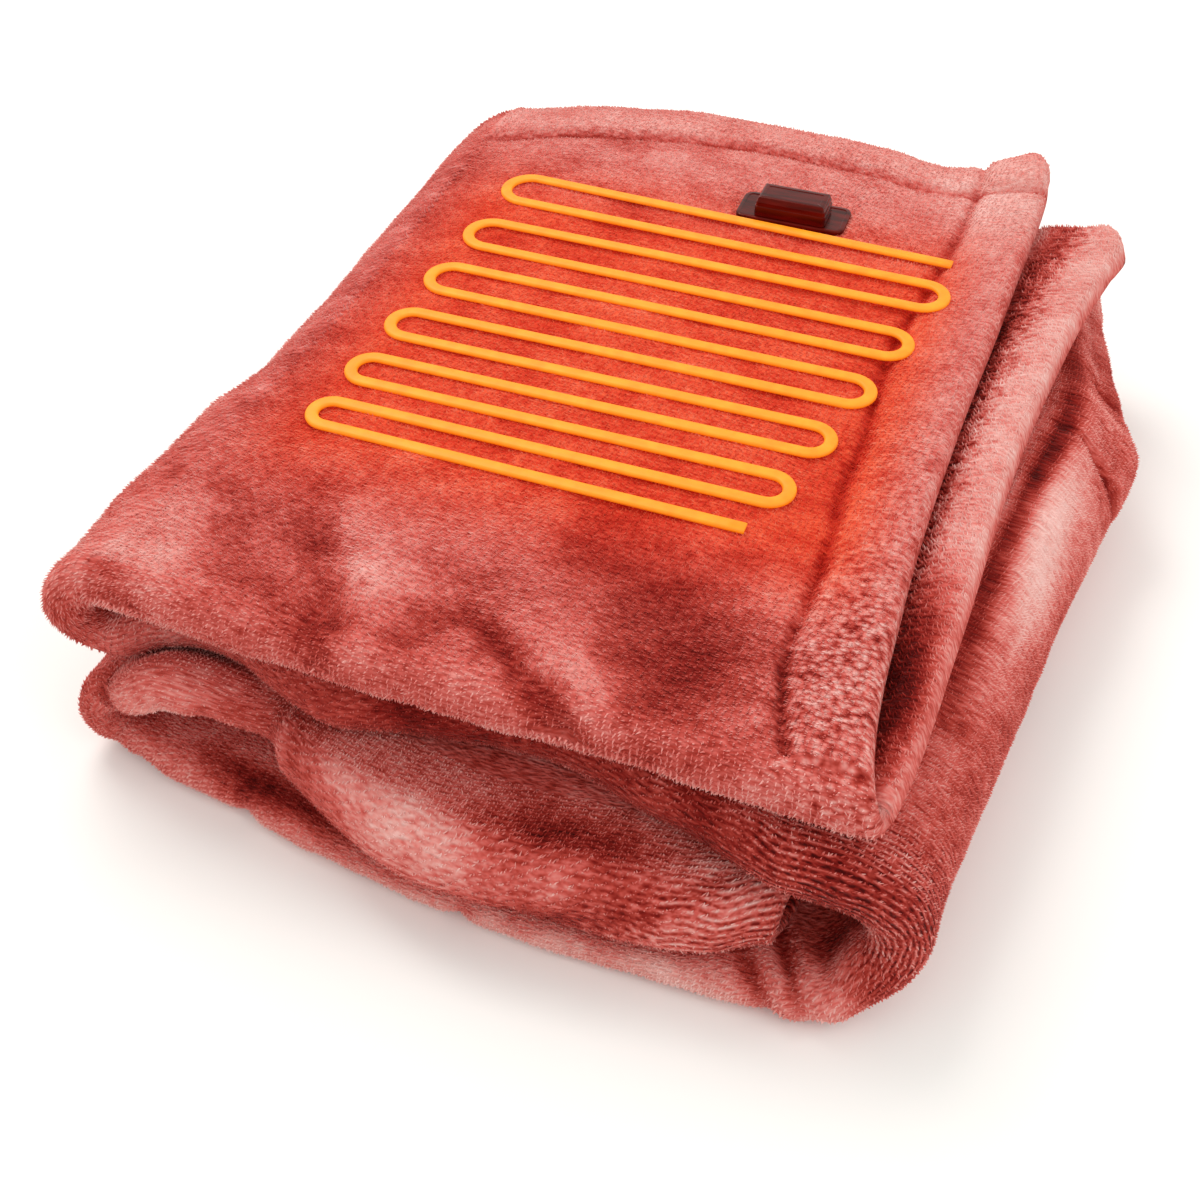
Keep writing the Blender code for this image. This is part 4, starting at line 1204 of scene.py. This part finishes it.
def pile_piece(field):
    """One field of tufts as an object."""
    points, place, lift = plant(field)
    firsts = np.arange(field.tufts)[:, None, None] * 4
    faces = firsts + np.array(((0, 2, 1), (0, 1, 3), (1, 2, 3), (2, 0, 3)))
    data = bpy.data.meshes.new(field.name)
    data.from_pydata(to_part(points), [], faces.reshape(-1, 3))
    corner_place = np.repeat(place, 4, axis=0)
    cut_map_of(data, *corner_place.T)
    roots = np.repeat(points.reshape(-1, 4, 3)[:, 0], 4, axis=0)
    tips = np.tile((ROOT_MARK, ROOT_MARK, ROOT_MARK, 1.0), field.tufts)
    outside = np.full(len(corner_place), field.outside)
    add_marks(data, corner_place[:, 0], corner_place[:, 1], roots, outside, np.repeat(lift, 4), tips)
    data.materials.append(pile_material)
    made = bpy.data.objects.new(field.name, data)
    bpy.context.scene.collection.objects.link(made)
    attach(made, "root")
    return made


pile_pieces = [pile_piece(field) for field in FIELDS]
print("triangles in the pile:", sum(len(piece.data.polygons) for piece in pile_pieces))

# %% [markdown]
# ## The heating wire
#
# The wire is laid in one line that goes back and forth in twelve rows and turns in half circles. On
# this blanket it shows as a flat orange band. We sweep one rounded section along the line. The band
# is stiffer than the cloth, so it rests on the high places and bridges the low ones. The rows aren't
# quite parallel, so each row's Y is given at two places and every next pair lies a little closer.

# %% Line of the heating wire
WIRE_WIDTH = 6 * MM
WIRE_THICK = 1.8 * MM
WIRE_ROWS = 12
WIRE_SPAN = (-104 * MM, 120 * MM)       # X at which the rows below are placed, left and right
WIRE_BACK = (129.3 * MM, 119.2 * MM)    # Y of the back row there
WIRE_PITCH = (24.9 * MM, 22.3 * MM)     # from the back row to the next one
WIRE_CLOSER = (0.78 * MM, 0.42 * MM)    # how much closer each next pair of rows lies
WIRE_ENDS = (127 * MM, 83 * MM)         # X of the free end of the back row and of the front row
WIRE_TIPS = (-113 * MM, 129 * MM)       # X of the first bend on the left and on the right
WIRE_TIP_STEPS = (-1.4 * MM, -8.7 * MM)     # how far each next bend on that side is moved
BEND_STEPS = 16
ROW_STEPS = 24
GAP = 0.3 * MM                          # between the band and the cloth
BAND_REACH = 14                         # steps of the line over which the band bridges low places


def wire_row(row, x):
    """Y of one of the wire's rows at X."""
    left, right = (WIRE_BACK[k] - WIRE_PITCH[k] * row + WIRE_CLOSER[k] * row * (row - 1) / 2
                   for k in (0, 1))
    return left + (right - left) * (x - WIRE_SPAN[0]) / (WIRE_SPAN[1] - WIRE_SPAN[0])


def straight(start, end, steps):
    """Places between two ends, without the ends."""
    return [start + (end - start) * k / steps for k in range(1, steps)]


def wire_line():
    """Places along the whole wire, from the free end of its back row to that of its front row."""
    points = [np.array((WIRE_ENDS[0], wire_row(0, WIRE_ENDS[0])))]
    for row in range(1, WIRE_ROWS):
        side = -1 if row % 2 == 1 else 1
        turn = row // 2 if side == -1 else row // 2 - 1
        tip = WIRE_TIPS[side > 0] + WIRE_TIP_STEPS[side > 0] * turn
        radius = (wire_row(row - 1, tip) - wire_row(row, tip)) / 2
        centre_x = tip - side * radius
        centre = np.array((centre_x, (wire_row(row - 1, centre_x) + wire_row(row, centre_x)) / 2))
        angles = [math.pi * (0.5 - k / BEND_STEPS) for k in range(BEND_STEPS + 1)]
        bend = [centre + radius * np.array((side * math.cos(a), math.sin(a))) for a in angles]
        points += straight(points[-1], bend[0], ROW_STEPS) + bend
    end = np.array((WIRE_ENDS[1], wire_row(WIRE_ROWS - 1, WIRE_ENDS[1])))
    return points + straight(points[-1], end, ROW_STEPS) + [end]


wire_places = wire_line()
print("length of the wire that shows, m:",
      round(sum(np.linalg.norm(b - a) for a, b in zip(wire_places, wire_places[1:])), 2))

# %% Helpers for pieces on the top
def height_of(surface, x, y):
    """Height of a mesh object at a place, from a ray that comes straight down."""
    hit, place, _, _ = surface.ray_cast((x, y, 1.0), (0.0, 0.0, -1.0))
    return place[2] if hit else FLAT_TOP


def link_mesh(name, mesh, material):
    """Turn a bmesh into a smooth object that rides on the pack."""
    data = bpy.data.meshes.new(name)
    mesh.to_mesh(data)
    mesh.free()
    data.materials.append(material)
    data.shade_smooth()
    made = bpy.data.objects.new(name, data)
    bpy.context.scene.collection.objects.link(made)
    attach(made, "root")
    return made


print("height where a ray meets no cloth, mm:", round(FLAT_TOP / MM, 1))

# %% Sweep the wire over the cloth
WIRE_SECTION = (        # to the side in half widths, and up in thicknesses
    (-1, 0.0), (-1, 0.45), (-0.9, 0.8), (-0.68, 1.0), (0.68, 1.0), (0.9, 0.8), (1, 0.45), (1, 0.0),
)


def resting_heights(places, reach):
    """Height of the band: the highest cloth within a few steps of each place, then evened out."""
    bare = np.array([height_of(cloth, *(place - CENTRE)) for place in places])
    padded = np.pad(bare, reach, mode="edge")
    highest = np.array([padded[k:k + 2 * reach + 1].max() for k in range(len(bare))])
    padded = np.pad(highest, reach, mode="edge")
    return np.array([padded[k:k + 2 * reach + 1].mean() for k in range(len(bare))]) + GAP


def wire_mesh(places):
    """The band, closed at both ends."""
    bpy.context.view_layer.update()
    mesh = bmesh.new()
    rings = []
    bases = resting_heights(places, BAND_REACH)
    for k, place in enumerate(places):
        run = places[min(k + 1, len(places) - 1)] - places[max(k - 1, 0)]
        side = np.array((-run[1], run[0])) / np.hypot(*run)
        ring = []
        for across, up in WIRE_SECTION:
            at = place - CENTRE + side * WIRE_WIDTH / 2 * across
            ring.append(mesh.verts.new((*at, bases[k] + up * WIRE_THICK)))
        rings.append(ring)
    count = len(WIRE_SECTION)
    for first, second in zip(rings, rings[1:]):
        for k in range(count):
            turn = (k + 1) % count
            mesh.faces.new((first[k], first[turn], second[turn], second[k]))
    mesh.faces.new(rings[0][::-1])
    mesh.faces.new(rings[-1])
    bmesh.ops.recalc_face_normals(mesh, faces=mesh.faces)
    return mesh


print("points round the band:", len(WIRE_SECTION))

# %% [markdown]
# ## Sleeve of the wire
#
# The sleeve is extruded silicone rubber, dyed amber. Silicone has an index of refraction of 1.41 and
# a satin face. The picture draws it as bright as if it glowed, so it gives off a little of its colour.
# The dye is faintly cloudy, in patches of about 7 mm.

# %% Silicone sleeve
sleeve, tree, shader = new_material("extruded amber silicone")
place = add_node(tree, "ShaderNodeTexCoord").outputs["Object"]
cloudy = add_node(tree, "ShaderNodeTexNoise", {"Vector": place, "Scale": 1 / (7 * MM), "Detail": 2.0})
amber = add_node(tree, "ShaderNodeValToRGB", {"Fac": cloudy.outputs["Fac"]})
set_ramp(amber, ((0.3, "F2860E"), (0.7, "F8981C")))
tree.links.new(amber.outputs["Color"], shader.inputs["Base Color"])
shader.inputs["Roughness"].default_value = 0.5
shader.inputs["IOR"].default_value = 1.41
shader.inputs["Emission Color"].default_value = linear("FF920A")
shader.inputs["Emission Strength"].default_value = 0.25
wire = link_mesh("heating_band", wire_mesh(wire_places), sleeve)
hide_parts("heating_wire")
print("faces in the wire:", len(wire.data.polygons))

# %% [markdown]
# ## The inlet
#
# The inlet is moulded in dark polycarbonate with a polished face. A thin plate is fixed to the cloth,
# and a low housing stands on it. The socket in its right end is not modelled; the housing is closed.
# Polycarbonate has an index of refraction of 1.585, which gives crisp, bright reflections on a nearly
# black body. The melt flowed in from one end, which leaves faint lines about 25 mm long and 4 mm wide.

# %% Polycarbonate
FLOW_LINES = (40, 260, 260)          # how many to a metre, along and to the sides
moulded, tree, shader = new_material("polished brown polycarbonate")
place = add_node(tree, "ShaderNodeTexCoord").outputs["Object"]
flow = add_node(tree, "ShaderNodeVectorMath", {0: place, 1: FLOW_LINES}, operation="MULTIPLY").outputs[0]
cloud = add_node(tree, "ShaderNodeTexNoise", {"Vector": flow, "Scale": 1.0, "Detail": 2.0})
brown = add_node(tree, "ShaderNodeValToRGB", {"Fac": cloud.outputs["Fac"]})
set_ramp(brown, ((0.3, "2C0302"), (0.7, "640C07")))
tree.links.new(brown.outputs["Color"], shader.inputs["Base Color"])
shader.inputs["Roughness"].default_value = 0.18
shader.inputs["IOR"].default_value = 1.585
shader.inputs["Specular Tint"].default_value = linear("C07060")
print("inlet material:", moulded.name)

# %% Moulded outlines
SHARPEST_CORNER = 0.3 * MM


def rounded_outline(size_x, size_y, radius, steps=6):
    """Corners of a rectangle with round corners, round its own middle."""
    points = []
    for quarter in range(4):
        centre_x = (size_x / 2 - radius) * (1 if quarter in (0, 3) else -1)
        centre_y = (size_y / 2 - radius) * (1 if quarter < 2 else -1)
        for k in range(steps + 1):
            angle = math.pi / 2 * (quarter + k / steps)
            points.append((centre_x + radius * math.cos(angle), centre_y + radius * math.sin(angle)))
    return points


def stacked(size, radius, centre, base, levels):
    """Loft outlines of one shape. `levels` are (height, inset) from the bottom up."""
    mesh = bmesh.new()
    rings = []
    for height, inset in levels:
        corner = max(radius - inset, SHARPEST_CORNER)
        outline_points = rounded_outline(size[0] - 2 * inset, size[1] - 2 * inset, corner)
        rings.append([mesh.verts.new((centre[0] + x, centre[1] + y, base + height))
                      for x, y in outline_points])
    for lower, upper in zip(rings, rings[1:]):
        for k in range(len(lower)):
            turn = (k + 1) % len(lower)
            mesh.faces.new((lower[k], lower[turn], upper[turn], upper[k]))
    mesh.faces.new(rings[0][::-1])
    mesh.faces.new(rings[-1])
    return mesh


plate_low, plate_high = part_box("inlet_flange")
block_low, block_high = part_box("inlet_housing")
plate_size, block_size = plate_high - plate_low, block_high - block_low
print("plate, mm:", [round(v / MM, 1) for v in plate_size])
print("housing, mm:", [round(v / MM, 1) for v in block_size])

# %% Plate and housing
PLATE_CORNER = 5 * MM
BLOCK_CORNER = 2.2 * MM
PLATE_LEVELS = ((0.0, 0.3), (0.3, 0.0), (1.7, 0.0), (2.2, 0.3), (2.4, 0.8), (2.4, 2.2), (2.0, 2.6),
                (2.0, 6.0))
BLOCK_LEVELS = ((0.0, 0.0), (0.8, 0.0), (5.0, 0.15), (5.3, 0.55), (7.4, 0.7), (7.7, 1.1), (9.2, 1.5),
                (9.8, 2.0), (10.0, 2.8), (10.0, 4.2), (9.7, 4.5), (9.7, 6.0))


def in_metres(levels):
    """The heights and insets of a table in millimetres."""
    return [(height * MM, inset * MM) for height, inset in levels]


plate_centre = (plate_low + plate_high) / 2
plate = link_mesh("inlet_plate", stacked(plate_size, PLATE_CORNER, plate_centre, plate_low[2],
                                         in_metres(PLATE_LEVELS)), moulded)
block_centre = (block_low + block_high) / 2
block = link_mesh("inlet_shell", stacked(block_size, BLOCK_CORNER, block_centre, block_low[2],
                                         in_metres(BLOCK_LEVELS)), moulded)
for piece, node in ((plate, "inlet_flange"), (block, "inlet_housing")):
    piece.data.set_sharp_from_angle(angle=math.radians(40))
    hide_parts(node)
print("inlet pieces:", plate.name, block.name)

# %% [markdown]
# ## Floor, light and background
#
# The picture is a plain product shot: a near-white room with no hard shadow. A white world gives most
# of the light. One large soft lamp, high on the left at the back, gives the folds their form, and a
# weaker one on the right opens the shadows there.

# %% Studio
FLOOR_SIZE = 6.0
floor_mesh = bmesh.new()
bmesh.ops.create_grid(floor_mesh, x_segments=1, y_segments=1, size=FLOOR_SIZE / 2)
floor_data = bpy.data.meshes.new("studio_floor")
floor_mesh.to_mesh(floor_data)
floor_mesh.free()
floor = bpy.data.objects.new("studio_floor", floor_data)
bpy.context.scene.collection.objects.link(floor)
paper, tree, shader = new_material("matt white paper")
shader.inputs["Base Color"].default_value = linear("FDFDFB")
shader.inputs["Roughness"].default_value = 1.0
floor_data.materials.append(paper)

world = bpy.data.worlds.new("white studio")
world.use_nodes = True
sky = world.node_tree.nodes["Background"]
sky.inputs["Color"].default_value = linear("FFFFFB")
sky.inputs["Strength"].default_value = 0.85
bpy.context.scene.world = world


def soft_lamp(name, place, aim, size, power, colour):
    """A square area lamp at `place` that looks at `aim`."""
    data = bpy.data.lights.new(name, "AREA")
    data.size = size
    data.energy = power
    data.color = linear(colour)[:3]
    lamp = bpy.data.objects.new(name, data)
    lamp.location = place
    direction = np.array(aim) - np.array(place)
    lamp.rotation_euler = (math.atan2(math.hypot(*direction[:2]), -direction[2]), 0,
                           math.atan2(direction[1], direction[0]) - math.pi / 2)
    bpy.context.scene.collection.objects.link(lamp)


soft_lamp("key", (-0.8, 0.5, 1.5), (0, 0, 0.05), 0.9, 13, "FFFAF6")
soft_lamp("fill", (1.1, -0.3, 1.0), (0, 0, 0.05), 1.0, 3.5, "FFFFFF")
bpy.context.scene.view_settings.view_transform = "Standard"

# %% [markdown]
# ## Finish
#
# Cloth may stand a little proud of the plain model, but the pieces keep its size.

# %% Finish
bpy.context.view_layer.update()
